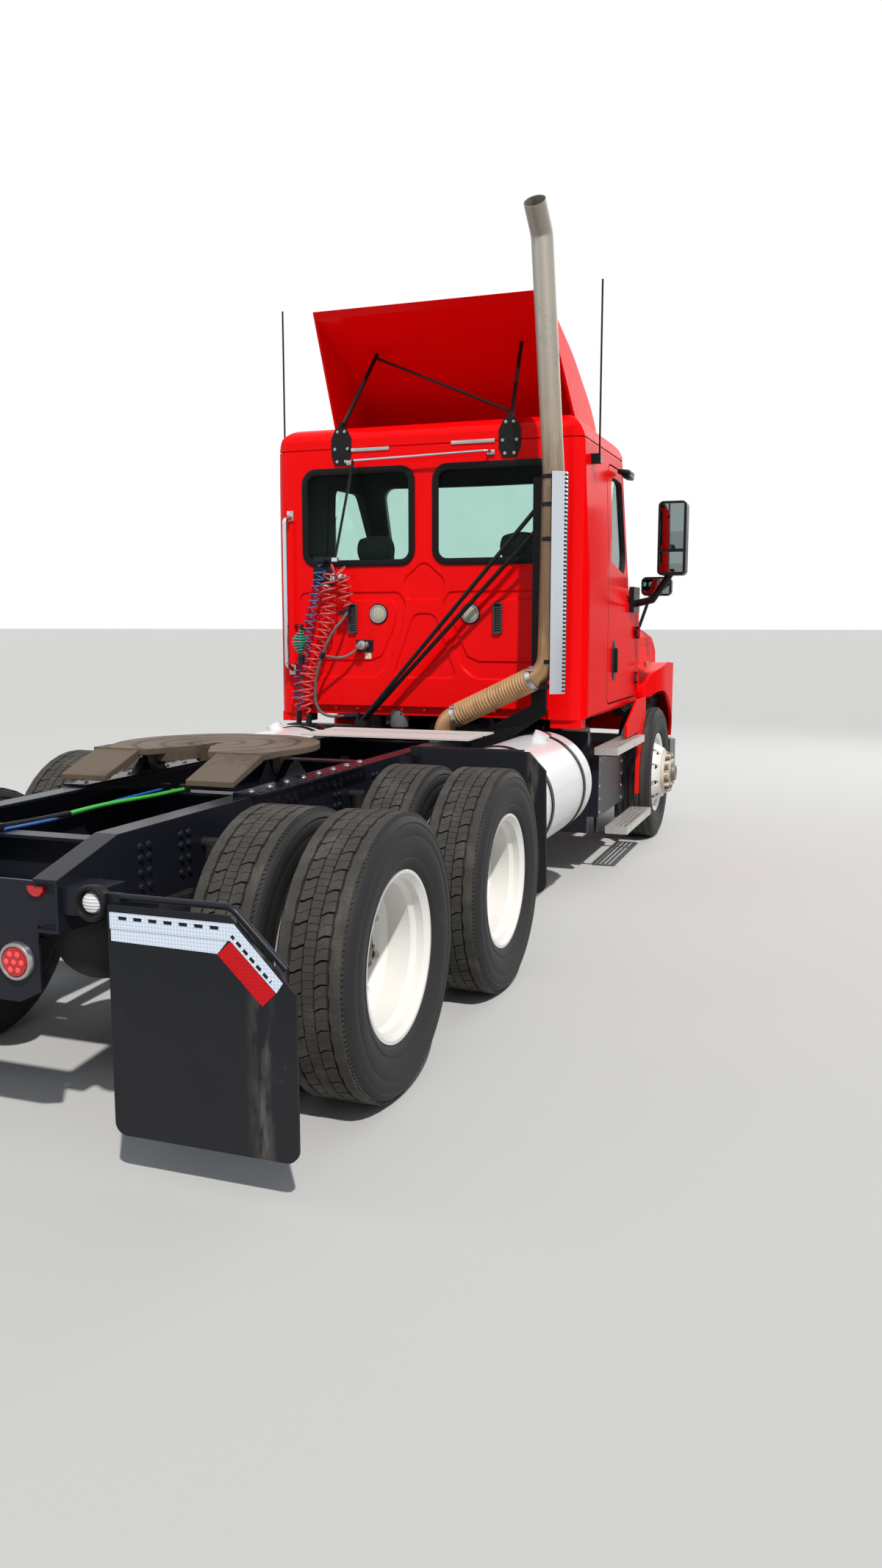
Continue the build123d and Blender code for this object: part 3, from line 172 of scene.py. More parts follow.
def ramp(tree, factor, *stops):
    """A colour that follows a factor through (position, colour) stops."""
    node = add_node(tree, "ShaderNodeValToRGB", {"Fac": factor})
    elements = node.color_ramp.elements
    for element, (position, colour) in zip(elements, (stops[0], stops[-1])):
        element.position = position
        element.color = (*colour, 1)
    for position, colour in stops[1:-1]:
        elements.new(position).color = (*colour, 1)
    return node.outputs["Color"]


def speckled(name, roughness, scale, detail, *stops):
    """A material whose colour wavers between the stops."""
    material, tree, shader = blank_material(name)
    colour = ramp(tree, noise(tree, object_place(tree), scale, detail), *stops)
    feed(tree, shader, {"Base Color": colour, "Roughness": roughness})
    return material


def hose_material(name, colour, roughness):
    """Nylon or rubber with a dusty film."""
    return speckled(name, roughness, 45, 4, (0.45, colour), (0.75, [0.75 * part + 0.06 for part in colour]))


for name, points in hose_routes.items():
    curve = bpy.data.curves.new(name + "_curve", "CURVE")
    curve.dimensions = "3D"
    curve.bevel_resolution = 3
    curve.use_fill_caps = True
    if name in coil_tables:
        hose_radius, coil_radius, pitch = coil_tables[name]
        route = helix(points, coil_radius - hose_radius, pitch, 0.06)
        curve.resolution_u = 2
    else:
        hose_radius = 0.010 if name == "hose_cable" else 0.009
        route = [Vector(point) for point in points]
        curve.resolution_u = 10
    curve.bevel_depth = hose_radius
    nurbs_spline(curve, route)
    hose = bpy.data.objects.new(name + "_coil", curve)
    bpy.context.scene.collection.objects.link(hose)
    curve.materials.append(hose_material(name, *hose_looks[name]))
    smooth = route if name in coil_tables else centre_line(points)
    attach(hose, "chassis")
    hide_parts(name)


# Cab, doors, hood and roof deflector
# Pressed steel and moulded panels in one glossy red enamel. The doors and hood part at open seams, and road film
# gathers low down.

def reckon(tree, operation, *terms, clamp=False):
    """One sum on masks or numbers."""
    node = add_node(tree, "ShaderNodeMath", dict(enumerate(terms)), operation=operation, use_clamp=clamp)
    return node.outputs[0]


def split(tree, vector):
    """A vector's X, Y and Z."""
    return add_node(tree, "ShaderNodeSeparateXYZ", {0: vector}).outputs


def mixed(tree, factor, first, second, blend_type="MIX"):
    """Two colours mixed by a factor."""
    node = add_node(tree, "ShaderNodeMix", {"Factor": factor, 6: first, 7: second}, data_type="RGBA",
                    blend_type=blend_type)
    return node.outputs[2]


def weathering():
    """Shared effect: a dust mask of broad clouds and fine specks, thicker near the road."""
    group = bpy.data.node_groups.new("weathering", "ShaderNodeTree")
    face = group.interface
    for name in ("Colour", "Dirt"):
        face.new_socket(name, in_out="INPUT", socket_type="NodeSocketColor")
    for name, value in (("Roughness", 0.3), ("Dirt Roughness", 0.85), ("Scale", 3.0), ("Cover", 0.3),
                        ("Low Dirt", 0.3), ("Height", 1.2)):
        face.new_socket(name, in_out="INPUT", socket_type="NodeSocketFloat").default_value = value
    face.new_socket("Colour", in_out="OUTPUT", socket_type="NodeSocketColor")
    for name in ("Roughness", "Grain"):
        face.new_socket(name, in_out="OUTPUT", socket_type="NodeSocketFloat")
    given = group.nodes.new("NodeGroupInput").outputs
    result = group.nodes.new("NodeGroupOutput")
    place = object_place(group)
    clouds = noise(group, place, reckon(group, "MULTIPLY", given["Scale"], 1.0), 5.0)
    specks = noise(group, place, reckon(group, "MULTIPLY", given["Scale"], 17.0), 3.0)
    lowness = reckon(group, "SUBTRACT", 1.0, reckon(group, "DIVIDE", split(group, place)["Z"], given["Height"]),
                     clamp=True)
    film = reckon(group, "MULTIPLY", lowness, given["Low Dirt"])
    texture = reckon(group, "ADD", reckon(group, "MULTIPLY", clouds, 0.7), reckon(group, "MULTIPLY", specks, 0.3))
    texture = reckon(group, "MULTIPLY", texture, 1.6)
    bare = reckon(group, "SUBTRACT", 1.15, given["Cover"])
    patches = reckon(group, "MULTIPLY", reckon(group, "SUBTRACT", texture, bare), 2.2, clamp=True)
    mask = reckon(group, "ADD", patches, reckon(group, "MULTIPLY", film, texture), clamp=True)
    gloss = add_node(group, "ShaderNodeMix", {"Factor": mask, 2: given["Roughness"], 3: given["Dirt Roughness"]})
    feed(group, result, {"Colour": mixed(group, mask, given["Colour"], given["Dirt"]), "Roughness": gloss.outputs[0],
                         "Grain": specks})
    return group


weathering_group = weathering()


def finish(name, colour, roughness, dirt=(0.2, 0.17, 0.14), cover=0.2, low=0.3, height=1.2, scale=3.0,
           metallic=0.0, coat=0.0, grain=0.0, rounding=0.0, specular=0.5):
    """A coloured finish under weathering, with fine grain and edges that catch the light as rounded ones do."""
    material, tree, shader = blank_material(name)
    weather = add_node(tree, "ShaderNodeGroup", node_tree=weathering_group)
    feed(tree, weather, {"Colour": (*colour, 1), "Dirt": (*dirt, 1), "Roughness": roughness, "Cover": cover,
                         "Low Dirt": low, "Height": height, "Scale": scale})
    bump = add_node(tree, "ShaderNodeBump", {"Strength": grain, "Distance": 0.002, "Height": weather.outputs["Grain"]})
    if rounding:
        edge = add_node(tree, "ShaderNodeBevel", {"Radius": rounding}, samples=4)
        feed(tree, bump, {"Normal": edge.outputs["Normal"]})
    feed(tree, shader, {"Base Color": weather.outputs["Colour"], "Roughness": weather.outputs["Roughness"],
                        "Metallic": metallic, "Coat Weight": coat, "Coat Roughness": 0.05,
                        "Specular IOR Level": specular, "Normal": bump.outputs["Normal"]})
    return material


def clothe(material, *names):
    """Gives CAD nodes their finish."""
    for name in names:
        mesh = nodes[name].data
        mesh.materials.clear()
        mesh.materials.append(material)


red_enamel = finish("red_enamel", (0.8, 0.002, 0.003), 0.2, dirt=(0.3, 0.08, 0.05), cover=0.06, low=0.22,
                    grain=0.02, rounding=0.008, specular=0.09)
# The faces that look sideways take this copy of the enamel, with its reflection turned almost off: painted shade on
# the cab's sides, set for how light falls there.
side_shaded_enamel = finish("side_shaded_enamel", (0.8, 0.002, 0.003), 0.22, dirt=(0.3, 0.08, 0.05), cover=0.06, low=0.22,
                       grain=0.02, rounding=0.008, specular=0.006)
enamelled = ("cab_shell", "cab_roof", "door_left", "door_right", "hood", "roof_deflector", "fender_panels")
clothe(red_enamel, *enamelled)
side_facing = 0.72
for name in enamelled:
    mesh = nodes[name].data
    mesh.materials.append(side_shaded_enamel)
    for face in mesh.polygons:
        if abs(face.normal.y) > side_facing:
            face.material_index = 1
cab_lining = finish("cab_lining", (0.03, 0.03, 0.032), 0.8, dirt=(0.06, 0.055, 0.05), cover=0.15, low=0.0,
                    scale=9, grain=0.3, specular=0.2)
cab_middle = Vector((1.3, 0, 2.0))
for name in ("cab_shell", "cab_roof", "door_left", "door_right"):
    mesh = nodes[name].data
    mesh.materials.append(cab_lining)
    for face in mesh.polygons:
        inward = (cab_middle - face.center).normalized()
        x, y, z = face.center
        inside = x > 0.575 and face.normal.dot(inward) > 0.2
        to_window = Vector((1.7, y, 2.4)) - face.center
        side_reveal = (1.3 < x < 2.2 and 2.0 < z < 2.72 and abs(y) > 0.95 and abs(face.normal.y) < 0.4
                       and face.normal.dot(to_window) > 0)
        screen_reveal = (x > 1.7 and abs(y) < 0.915 - 0.0814 * (z - 1.88) and 1.86 < z < 2.76
                         and abs(face.normal.x * 0.872 + face.normal.z * 0.489) < 0.4)
        rear_reveal = 0.545 < x < 0.58 and abs(face.normal.x) < 0.4 and abs(y) < 0.87 and 2.08 < z < 2.72
        door_seam = abs(x - 1.22) < 0.015 and abs(y) > 0.9 and abs(face.normal.x) > 0.8
        if inside or side_reveal or screen_reveal or rear_reveal or door_seam:
            face.material_index = 2


# Windows
# Tinted safety glass, bonded or set in black rubber. The rear pair have wide rubber borders with rounded corners.

def tinted_glass(name, colour):
    """Clear glass with a green-grey tint and a trace of dust."""
    material = speckled(name, 0.02, 6, 2.0, (0.0, colour), (1.0, [0.93 * part for part in colour]))
    tree = material.node_tree
    feed(tree, tree.nodes["Principled BSDF"], {"Transmission Weight": 1.0, "IOR": 1.1})
    return material


clothe(tinted_glass("tinted_glass", (0.66, 0.84, 0.78)), "cab_glass", "door_glass_left", "door_glass_right")


def show(name, mesh_tools, material, body, smooth=True):
    """Turns a finished bmesh into a piece that rides on a body."""
    mesh = bpy.data.meshes.new(name)
    mesh_tools.to_mesh(mesh)
    mesh_tools.free()
    for face in mesh.polygons:
        face.use_smooth = smooth
    if smooth:
        mesh.set_sharp_from_angle(angle=radians(38))
    mesh.materials.append(material)
    piece = bpy.data.objects.new(name, mesh)
    bpy.context.scene.collection.objects.link(piece)
    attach(piece, body)
    return piece


sides = (("left", 1), ("right", -1))
rear_wall_x = 0.54
rear_window_ys = (0.07, 0.857)
rear_window_z = (2.09, 2.71)
seal_rubber = finish("seal_rubber", (0.005, 0.005, 0.006), 0.4, dirt=(0.04, 0.037, 0.032), cover=0.06, low=0.0,
                     scale=8, grain=0.1, specular=0.14)


def face_outward(*meshes):
    """Turns the front of every face outward."""
    for mesh_tools in meshes:
        bmesh.ops.recalc_face_normals(mesh_tools, faces=mesh_tools.faces[:])


def extrude(mesh_tools, faces, step):
    """Extrudes faces by a step and gives the moved vertices."""
    made = bmesh.ops.extrude_face_region(mesh_tools, geom=faces)
    moved = [part for part in made["geom"] if isinstance(part, bmesh.types.BMVert)]
    bmesh.ops.translate(mesh_tools, verts=moved, vec=step)
    return moved


def rounded_ring(mesh_tools, low, high, corner, band, x, depth):
    """A rubber band round an opening in a cross plane, with rounded corners, standing off the wall's face."""
    corners = [mesh_tools.verts.new((x, y, z)) for y, z in
               ((low[0], low[1]), (low[0], high[1]), (high[0], high[1]), (high[0], low[1]))]
    mesh_tools.faces.new(corners)
    bmesh.ops.bevel(mesh_tools, geom=corners, offset=corner, offset_type="OFFSET", affect="VERTICES", segments=8,
                    profile=0.5, material=-1)
    mesh_tools.faces.ensure_lookup_table()
    plate = mesh_tools.faces[0]
    bmesh.ops.inset_individual(mesh_tools, faces=[plate], thickness=band, use_even_offset=True)
    bmesh.ops.delete(mesh_tools, geom=[plate], context="FACES_ONLY")
    extrude(mesh_tools, mesh_tools.faces[:], (-depth, 0, 0))
    face_outward(mesh_tools)
    rim = [edge for edge in mesh_tools.edges if all(vert.co.x < x - depth / 2 for vert in edge.verts)
           and edge.calc_face_angle(0) > 0.8]
    bmesh.ops.bevel(mesh_tools, geom=rim, offset=depth * 0.4, offset_type="OFFSET", affect="EDGES", segments=2,
                    profile=0.5, material=-1)


for side_name, side in sides:
    seal = bmesh.new()
    low_y, high_y = sorted(side * y for y in rear_window_ys)
    rounded_ring(seal, (low_y - 0.01, rear_window_z[0] - 0.01), (high_y + 0.01, rear_window_z[1] + 0.01),
                 0.1, 0.044, rear_wall_x - 0.001, 0.009)
    show("rear_window_seal_" + side_name, seal, seal_rubber, "chassis")


# Drive and steer tyres
# Radial truck tyres. The drive tyres carry two rows of wavy blocks beside a narrow middle row of short bars, and
# broad shoulder ribs with notched edges; the steer tyres carry five plain ribs.

wheel_radius = 0.522
tread_depth = 0.013
drive_axles = {"front": -1.54, "rear": -2.86}
steer_axle_x = 2.72
twin_ys = (1.08, 0.737)
steer_tyre_y = 1.07
drive_pitches = 42
steer_pitches = 90
carcass_profile = ((0.287, -0.0995), (0.313, -0.106), (0.318, -0.114), (0.338, -0.1265), (0.352, -0.1295),
                   (0.356, -0.1275), (0.372, -0.1335), (0.4, -0.139), (0.43, -0.14), (0.436, -0.1375),
                   (0.442, -0.14), (0.47, -0.137), (0.478, -0.133), (0.484, -0.135), (0.498, -0.127),
                   (0.507, -0.116))
rubber = finish("tyre_rubber_finish", (0.017, 0.017, 0.019), 0.6, dirt=(0.075, 0.07, 0.064), cover=0.12, low=0.16,
                height=1.1, scale=6, grain=0.25, specular=0.22)
tread_rubber = finish("tread_rubber_finish", (0.046, 0.043, 0.04), 0.75, dirt=(0.11, 0.1, 0.086), cover=0.36,
                      low=0.15, height=1.1, scale=9, grain=0.4, specular=0.2)


def carcass(mesh_tools, centre):
    """The tyre's closed body: both sidewalls and the tread's floor, spun round the axle."""
    floor = wheel_radius - tread_depth
    half = list(carcass_profile)
    section = half + [(floor, -0.104), (floor, 0.104)] + [(radius, -y) for radius, y in reversed(half)]
    inner = [(0.287, 0.06), (0.287, -0.06)]
    verts = [mesh_tools.verts.new((centre[0] + radius, centre[1] + y, centre[2])) for radius, y in section + inner]
    edges = [mesh_tools.edges.new(pair) for pair in zip(verts, verts[1:] + verts[:1])]
    bmesh.ops.spin(mesh_tools, geom=verts + edges, cent=centre, axis=(0, 1, 0), dvec=(0, 0, 0), angle=2 * pi,
                   steps=80, use_merge=True, use_duplicate=False)
    bmesh.ops.remove_doubles(mesh_tools, verts=mesh_tools.verts[:], dist=0.00002)
    face_outward(mesh_tools)


def tread_block(mesh_tools, outline, centre, low, high, taper, turn=0.0):
    """One raised block from its outline across the tread: (along, across) pairs at the tyre's top, then turned."""
    base = [mesh_tools.verts.new((centre[0] + along, centre[1] + across, centre[2] + low))
            for along, across in outline]
    top = extrude(mesh_tools, [mesh_tools.faces.new(base)], (0, 0, high - low))
    middle = sum((vert.co for vert in top), Vector()) / len(top)
    for vert in top:
        vert.co.x += (middle.x - vert.co.x) * taper
        vert.co.y += (middle.y - vert.co.y) * taper
    bmesh.ops.rotate(mesh_tools, verts=base + top, cent=centre, matrix=Matrix.Rotation(turn, 3, "Y"))


def round_the_wheel(mesh_tools, centre, count):
    """Repeats all that a mesh holds round the axle."""
    face_outward(mesh_tools)
    geometry = mesh_tools.verts[:] + mesh_tools.edges[:] + mesh_tools.faces[:]
    bmesh.ops.spin(mesh_tools, geom=geometry, cent=centre, axis=(0, 1, 0), dvec=(0, 0, 0),
                   angle=2 * pi * (count - 1) / count, steps=count - 1, use_merge=False, use_duplicate=True)


def drive_tread(mesh_tools, centre, count):
    """One pitch: two rows of wavy blocks with a fine sipe, a narrow middle row of short bars, and shoulder ribs."""
    pitch = 2 * pi * wheel_radius / count
    floor = wheel_radius - tread_depth
    full_turn = 2 * pi / count
    for wave, shift in ((((0.066, -0.007), (0.052, -0.0075), (0.039, 0.001), (0.0235, 0.007)), 0.0),
                        (((-0.0235, -0.008), (-0.034, 0.0), (-0.046, 0.006), (-0.066, 0.0065)), 0.45)):
        for low_edge, high_edge, flare in ((-0.5 * pitch + 0.0036, -0.0006, 0.0),
                                           (0.0006, 0.5 * pitch - 0.0036, 0.0025)):
            outer = max(wave, key=lambda spot: abs(spot[0]))[0]
            outline = [(low_edge + rise, across) for across, rise in wave]
            outline += [(high_edge + rise, across - (flare if across > 0 else -flare) * (across == outer))
                        for across, rise in reversed(wave)]
            tread_block(mesh_tools, outline, centre, floor - 0.004, wheel_radius - 0.0022, 0.02, shift * full_turn)
    for step in range(3):
        low_edge, high_edge = pitch * (step / 3 - 0.5) + 0.0007, pitch * ((step + 1) / 3 - 0.5) - 0.0007
        jog = (0.0, 0.0018, 0.0)[step]
        outline = [(low_edge, -0.0195 + jog), (high_edge, -0.0195 + jog), (high_edge, 0.0195 - jog),
                   (low_edge, 0.0195 - jog)]
        tread_block(mesh_tools, outline, centre, floor - 0.004, wheel_radius - 0.0012, 0.02)
    for side in (-1, 1):
        for start, end, bulge in ((-0.5, -0.008, 0.0), (0.0, 0.492, 0.005)):
            outline = [(pitch * start, side * 0.0755), (pitch * (start + 0.25), side * (0.0725 + bulge)),
                       (pitch * end, side * 0.0755), (pitch * end, side * 0.095),
                       (pitch * (end + 0.008), side * 0.0955), (pitch * (end + 0.008), side * 0.1125),
                       (pitch * start, side * 0.1125)]
            tread_block(mesh_tools, outline, centre, floor - 0.006, wheel_radius - 0.002, 0.0)
        for step in range(4):
            along = pitch * ((step + 0.5) / 4 - 0.5)
            outline = [(along - 0.006, side * 0.111), (along + 0.0035, side * 0.111), (along + 0.006, side * 0.1185),
                       (along - 0.002, side * 0.1185)]
            tread_block(mesh_tools, outline, centre, floor - 0.02, wheel_radius - 0.0095, 0.05)


def steer_tread(mesh_tools, centre, count):
    """Five plain ribs with short edge sipes."""
    pitch = 2 * pi * wheel_radius / count
    floor = wheel_radius - tread_depth
    for across in (-0.086, -0.043, 0.0, 0.043, 0.086):
        wide = 0.0175
        outline = [(-pitch * 0.5, across - wide), (pitch * 0.46, across - wide), (pitch * 0.43, across - wide * 0.6),
                   (pitch * 0.5, across - wide * 0.6), (pitch * 0.5, across + wide * 0.6),
                   (pitch * 0.43, across + wide * 0.6), (pitch * 0.46, across + wide), (-pitch * 0.5, across + wide)]
        tread_block(mesh_tools, outline, centre, floor - 0.005, wheel_radius - 0.0012, 0.0)


def build_tyre(name, centre, body, tread, count):
    """One tyre: spun carcass with its sidewall rings, then the blocks of one pitch repeated round it."""
    shell = bmesh.new()
    carcass(shell, centre)
    show(name + "_carcass", shell, rubber, body)
    blocks = bmesh.new()
    tread(blocks, centre, count)
    round_the_wheel(blocks, centre, count)
    return show(name + "_tread", blocks, tread_rubber, body, smooth=False)


drive_wheels = [(f"{place}_{side_name}", axle_x, side) for place, axle_x in drive_axles.items()
                for side_name, side in sides]
for wheel, axle_x, side in drive_wheels:
    for twin, across in zip(("outer", "inner"), twin_ys):
        piece = build_tyre(f"drive_tyre_{wheel}_{twin}", (axle_x, side * across, wheel_radius),
                           "drive_wheels_" + wheel, drive_tread, drive_pitches)
    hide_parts("drive_tyres_" + wheel)
for side_name, side in sides:
    piece = build_tyre(f"steer_tyre_{side_name}_ribbed", (steer_axle_x, side * steer_tyre_y, wheel_radius),
                       f"steer_wheel_{side_name}", steer_tread, steer_pitches)
    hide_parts(f"steer_tyre_{side_name}")


# Wheels
# White enamelled steel discs on ten studs. Yellow-brown dirt and rust gather round the hub and the studs.

def mapped(tree, place, **values):
    """Coordinates moved, turned or scaled."""
    return add_node(tree, "ShaderNodeMapping", {"Vector": place, **values}).outputs["Vector"]


def reach_from(tree, place, location, scale):
    """Each point's distance from a line."""
    away = mapped(tree, place, Location=location, Scale=scale)
    return add_node(tree, "ShaderNodeVectorMath", {0: away}, operation="LENGTH").outputs["Value"]


def share_between(tree, value, low, high):
    """How far a value has come from low to high, between 0 and 1."""
    node = add_node(tree, "ShaderNodeMapRange", {"Value": value, "From Min": low, "From Max": high})
    return node.outputs["Result"]


def overlay(tree, factor, colour, blend_type="MULTIPLY"):
    """Lays a colour over the one that a finish already has."""
    shader = tree.nodes["Principled BSDF"]
    under = shader.inputs["Base Color"].links[0].from_socket
    feed(tree, shader, {"Base Color": mixed(tree, factor, under, colour, blend_type)})


def wheel_enamel(name, axle_x):
    """White enamel that turns to brown dirt towards the axle."""
    material = finish(name, (0.74, 0.73, 0.7), 0.35, dirt=(0.42, 0.34, 0.22), cover=0.16, low=0.0, scale=7,
                      grain=0.05)
    tree = material.node_tree
    place = object_place(tree)
    reach = reach_from(tree, place, (-axle_x, 0, -wheel_radius), (1, 0, 1))
    stain = reckon(tree, "MULTIPLY", share_between(tree, reach, 0.225, 0.15), noise(tree, place, 14, 5))
    overlay(tree, stain, (0.36, 0.26, 0.13, 1), "MIX")
    return material


rust = finish("stud_rust", (0.16, 0.075, 0.035), 0.8, dirt=(0.32, 0.22, 0.12), cover=0.4, low=0.0, scale=30,
              metallic=0.3, grain=0.4)
stud_circle = 0.143


def studs(name, mount_y, outward, axle_x, body):
    """Ten six-sided nuts with the stud ends standing out of them."""
    ring = bmesh.new()
    turn = Matrix.Rotation(radians(-90 * outward), 4, "X")
    for radius, low, high, corners in ((0.0185, 0.012, 0.034, 6), (0.0225, 0.011, 0.0155, 16),
                                       (0.0105, 0.03, 0.058, 10)):
        place = Matrix.Translation((axle_x, mount_y + outward * (low + high) / 2, wheel_radius + stud_circle)) @ turn
        bmesh.ops.create_cone(ring, cap_ends=True, segments=corners, radius1=radius, radius2=radius * 0.9,
                              depth=high - low, matrix=place)
    round_the_wheel(ring, (axle_x, mount_y, wheel_radius), 10)
    show(name, ring, rust, body, smooth=False)


for place, axle_x in drive_axles.items():
    enamel = wheel_enamel("wheel_enamel_" + place, axle_x)
    for side_name, side in sides:
        clothe(enamel, f"drive_rims_{place}_{side_name}")
        studs(f"studs_{place}_{side_name}", side * 0.9085, side, axle_x, f"drive_wheels_{place}_{side_name}")
enamel = wheel_enamel("wheel_enamel_steer", steer_axle_x)
for side_name, side in sides:
    clothe(enamel, f"steer_rim_{side_name}")
    studs("studs_steer_" + side_name, side * 1.2415, side, steer_axle_x, f"steer_wheel_{side_name}")


# Frame, axles and suspension
# Pressed steel rails and brackets in black chassis paint, dulled by road dust in patches and low down.

# The black is tinted blue: a painted reflection of blue sky on the glossy paint.
chassis_black_sky_sheen = finish("chassis_black_sky_sheen", (0.008, 0.0095, 0.016), 0.3, dirt=(0.055, 0.05, 0.048), cover=0.16, low=0.22,
                       height=1.1, scale=3, grain=0.12, rounding=0.004, specular=0.22)
cast_black = finish("cast_black", (0.011, 0.011, 0.013), 0.5, dirt=(0.08, 0.066, 0.052), cover=0.26, low=0.3,
                    height=1.0, scale=6, grain=0.5, specular=0.3)
bracket_black = finish("bracket_black", (0.008, 0.008, 0.009), 0.36, dirt=(0.06, 0.055, 0.05), cover=0.08, low=0.15,
                       scale=6, grain=0.12, specular=0.16)
clothe(chassis_black_sky_sheen, "frame", "flap_hangers", "fifth_wheel_mounts", "step_boxes", "hose_fittings")
clothe(cast_black, "axles", "suspension", "knuckle_left", "knuckle_right", "tie_rod")
clothe(bracket_black, "stack_bracket", "deflector_struts", "tank_straps", "aerials")
clothe(finish("engine_grey", (0.05, 0.053, 0.058), 0.55, dirt=(0.05, 0.043, 0.037), cover=0.35, low=0.4, scale=5,
              grain=0.5, specular=0.3), "driveline")


# Fifth wheel coupling
# A cast iron top plate worn bare and smeared with old grease that trailers have swirled round the kingpin.

def greased_iron():
    """Brown-grey grease film over bare iron, with arcs round the kingpin on the flat top."""
    material = finish("greased_iron_finish", (0.108, 0.08, 0.056), 0.55, dirt=(0.038, 0.03, 0.023), cover=0.36,
                      low=0.0, scale=2.6, grain=0.35, rounding=0.005, specular=0.25)
    tree = material.node_tree
    centre = mapped(tree, object_place(tree), Location=(2.08, 0, 0))
    rings = add_node(tree, "ShaderNodeTexWave", {"Vector": centre, "Scale": 2.6, "Distortion": 1.6, "Detail": 2,
                                                 "Detail Scale": 1.5}, wave_type="RINGS", rings_direction="Z")
    mark = ramp(tree, rings.outputs["Fac"], (0.03, (0.36, 0.33, 0.3)), (0.2, (1.1, 1.07, 1.04)))
    facing = add_node(tree, "ShaderNodeNewGeometry").outputs["Normal"]
    overlay(tree, reckon(tree, "GREATER_THAN", split(tree, facing)["Z"], 0.97), mark)
    return material


clothe(greased_iron(), "fifth_wheel_plate")


# Exhaust stack and heat shield
# A plain steel pipe, brown with heat low down and weathered grey above, fed by a corrugated flexible run and
# covered at driver's height by a polished shield with perforated edges.

def heated_steel():
    """Bare steel, tan at the elbow, brown beside the shield and beige-grey above, streaked lengthwise."""
    material = finish("heated_steel", (0.4, 0.38, 0.34), 0.4, dirt=(0.2, 0.17, 0.14), cover=0.3, low=0.0, scale=5,
                      metallic=0.35, grain=0.15)
    tree = material.node_tree
    place = object_place(tree)
    streaks = noise(tree, mapped(tree, place, Scale=(24, 24, 1.4)))
    height = reckon(tree, "DIVIDE", reckon(tree, "MULTIPLY_ADD", streaks, 0.7, split(tree, place)["Z"]), 4.5)
    overlay(tree, 1.0, ramp(tree, height, (0.3, (1.3, 0.76, 0.4)), (0.4, (1.05, 0.62, 0.34)),
                            (0.455, (0.5, 0.31, 0.18)), (0.62, (0.46, 0.31, 0.2)), (0.7, (0.8, 0.7, 0.58)),
                            (0.84, (0.86, 0.83, 0.79))))
    return material


clothe(heated_steel(), "exhaust_stack")
polished = finish("polished_steel", (0.6, 0.63, 0.68), 0.14, dirt=(0.25, 0.24, 0.23), cover=0.14, low=0.1, scale=5,
                  metallic=1.0, grain=0.03)
clothe(polished, "heat_shield", "chrome_rails")
mesh = nodes["chrome_rails"].data
mesh.materials.append(bracket_black)
for face in mesh.polygons:
    if 0.44 < face.center.y < 0.62 and 2.34 < face.center.z < 2.7:
        face.material_index = 1


# Tanks, steps and deck
# White enamelled fuel tanks in black straps, slatted aluminium steps and tread plate over the frame.

clothe(finish("tank_enamel", (0.72, 0.73, 0.74), 0.22, dirt=(0.36, 0.34, 0.3), cover=0.14, low=0.25, scale=4,
              coat=0.2, grain=0.03), "fuel_tanks")
clothe(finish("step_aluminium", (0.62, 0.61, 0.58), 0.42, dirt=(0.3, 0.27, 0.22), cover=0.3, low=0.1, scale=8,
              metallic=0.85, grain=0.2), "steps")


def relief(tree, height, strength, distance, invert=False):
    """Adds a coarser bump under a finish's own grain."""
    grain = tree.nodes["Principled BSDF"].inputs["Normal"].links[0].from_node
    bump = add_node(tree, "ShaderNodeBump", {"Height": height, "Strength": strength, "Distance": distance},
                    invert=invert)
    feed(tree, grain, {"Normal": bump.outputs["Normal"]})


def tread_plate():
    """Bare aluminium with raised crossing dashes."""
    material = finish("tread_plate", (0.62, 0.61, 0.59), 0.5, dirt=(0.36, 0.32, 0.26), cover=0.26, low=0.0, scale=6,
                      metallic=0.15, grain=0.3)
    tree = material.node_tree
    turned = mapped(tree, object_place(tree), Rotation=(0, 0, radians(45)), Scale=(36, 36, 36))
    dashes = add_node(tree, "ShaderNodeTexVoronoi", {"Vector": turned, "Randomness": 0.0}, distance="CHEBYCHEV")
    relief(tree, dashes.outputs["Distance"], 0.6, 0.003, invert=True)
    return material


clothe(tread_plate(), "deck_plates")


# Bumper, grille and mirrors
# Moulded black and grey plastic with a fine grain; the mirrors' glass is fixed in the housings' rear faces.

moulded_black = finish("moulded_black", (0.007, 0.007, 0.008), 0.4, dirt=(0.06, 0.056, 0.05), cover=0.08, low=0.15,
                       scale=8, grain=0.25, rounding=0.006, specular=0.18)
clothe(moulded_black, "grille", "hood_mirrors", "door_mirror_left", "door_mirror_right", "rear_wall_fittings")
clothe(finish("moulded_grey", (0.16, 0.165, 0.17), 0.5, dirt=(0.22, 0.2, 0.17), cover=0.2, low=0.3, scale=6,
              grain=0.2, rounding=0.008), "bumper")
clothe(finish("cabin_plastic", (0.05, 0.05, 0.055), 0.6, cover=0.1, low=0.0, scale=8, grain=0.2), "cab_interior",
       "seats")


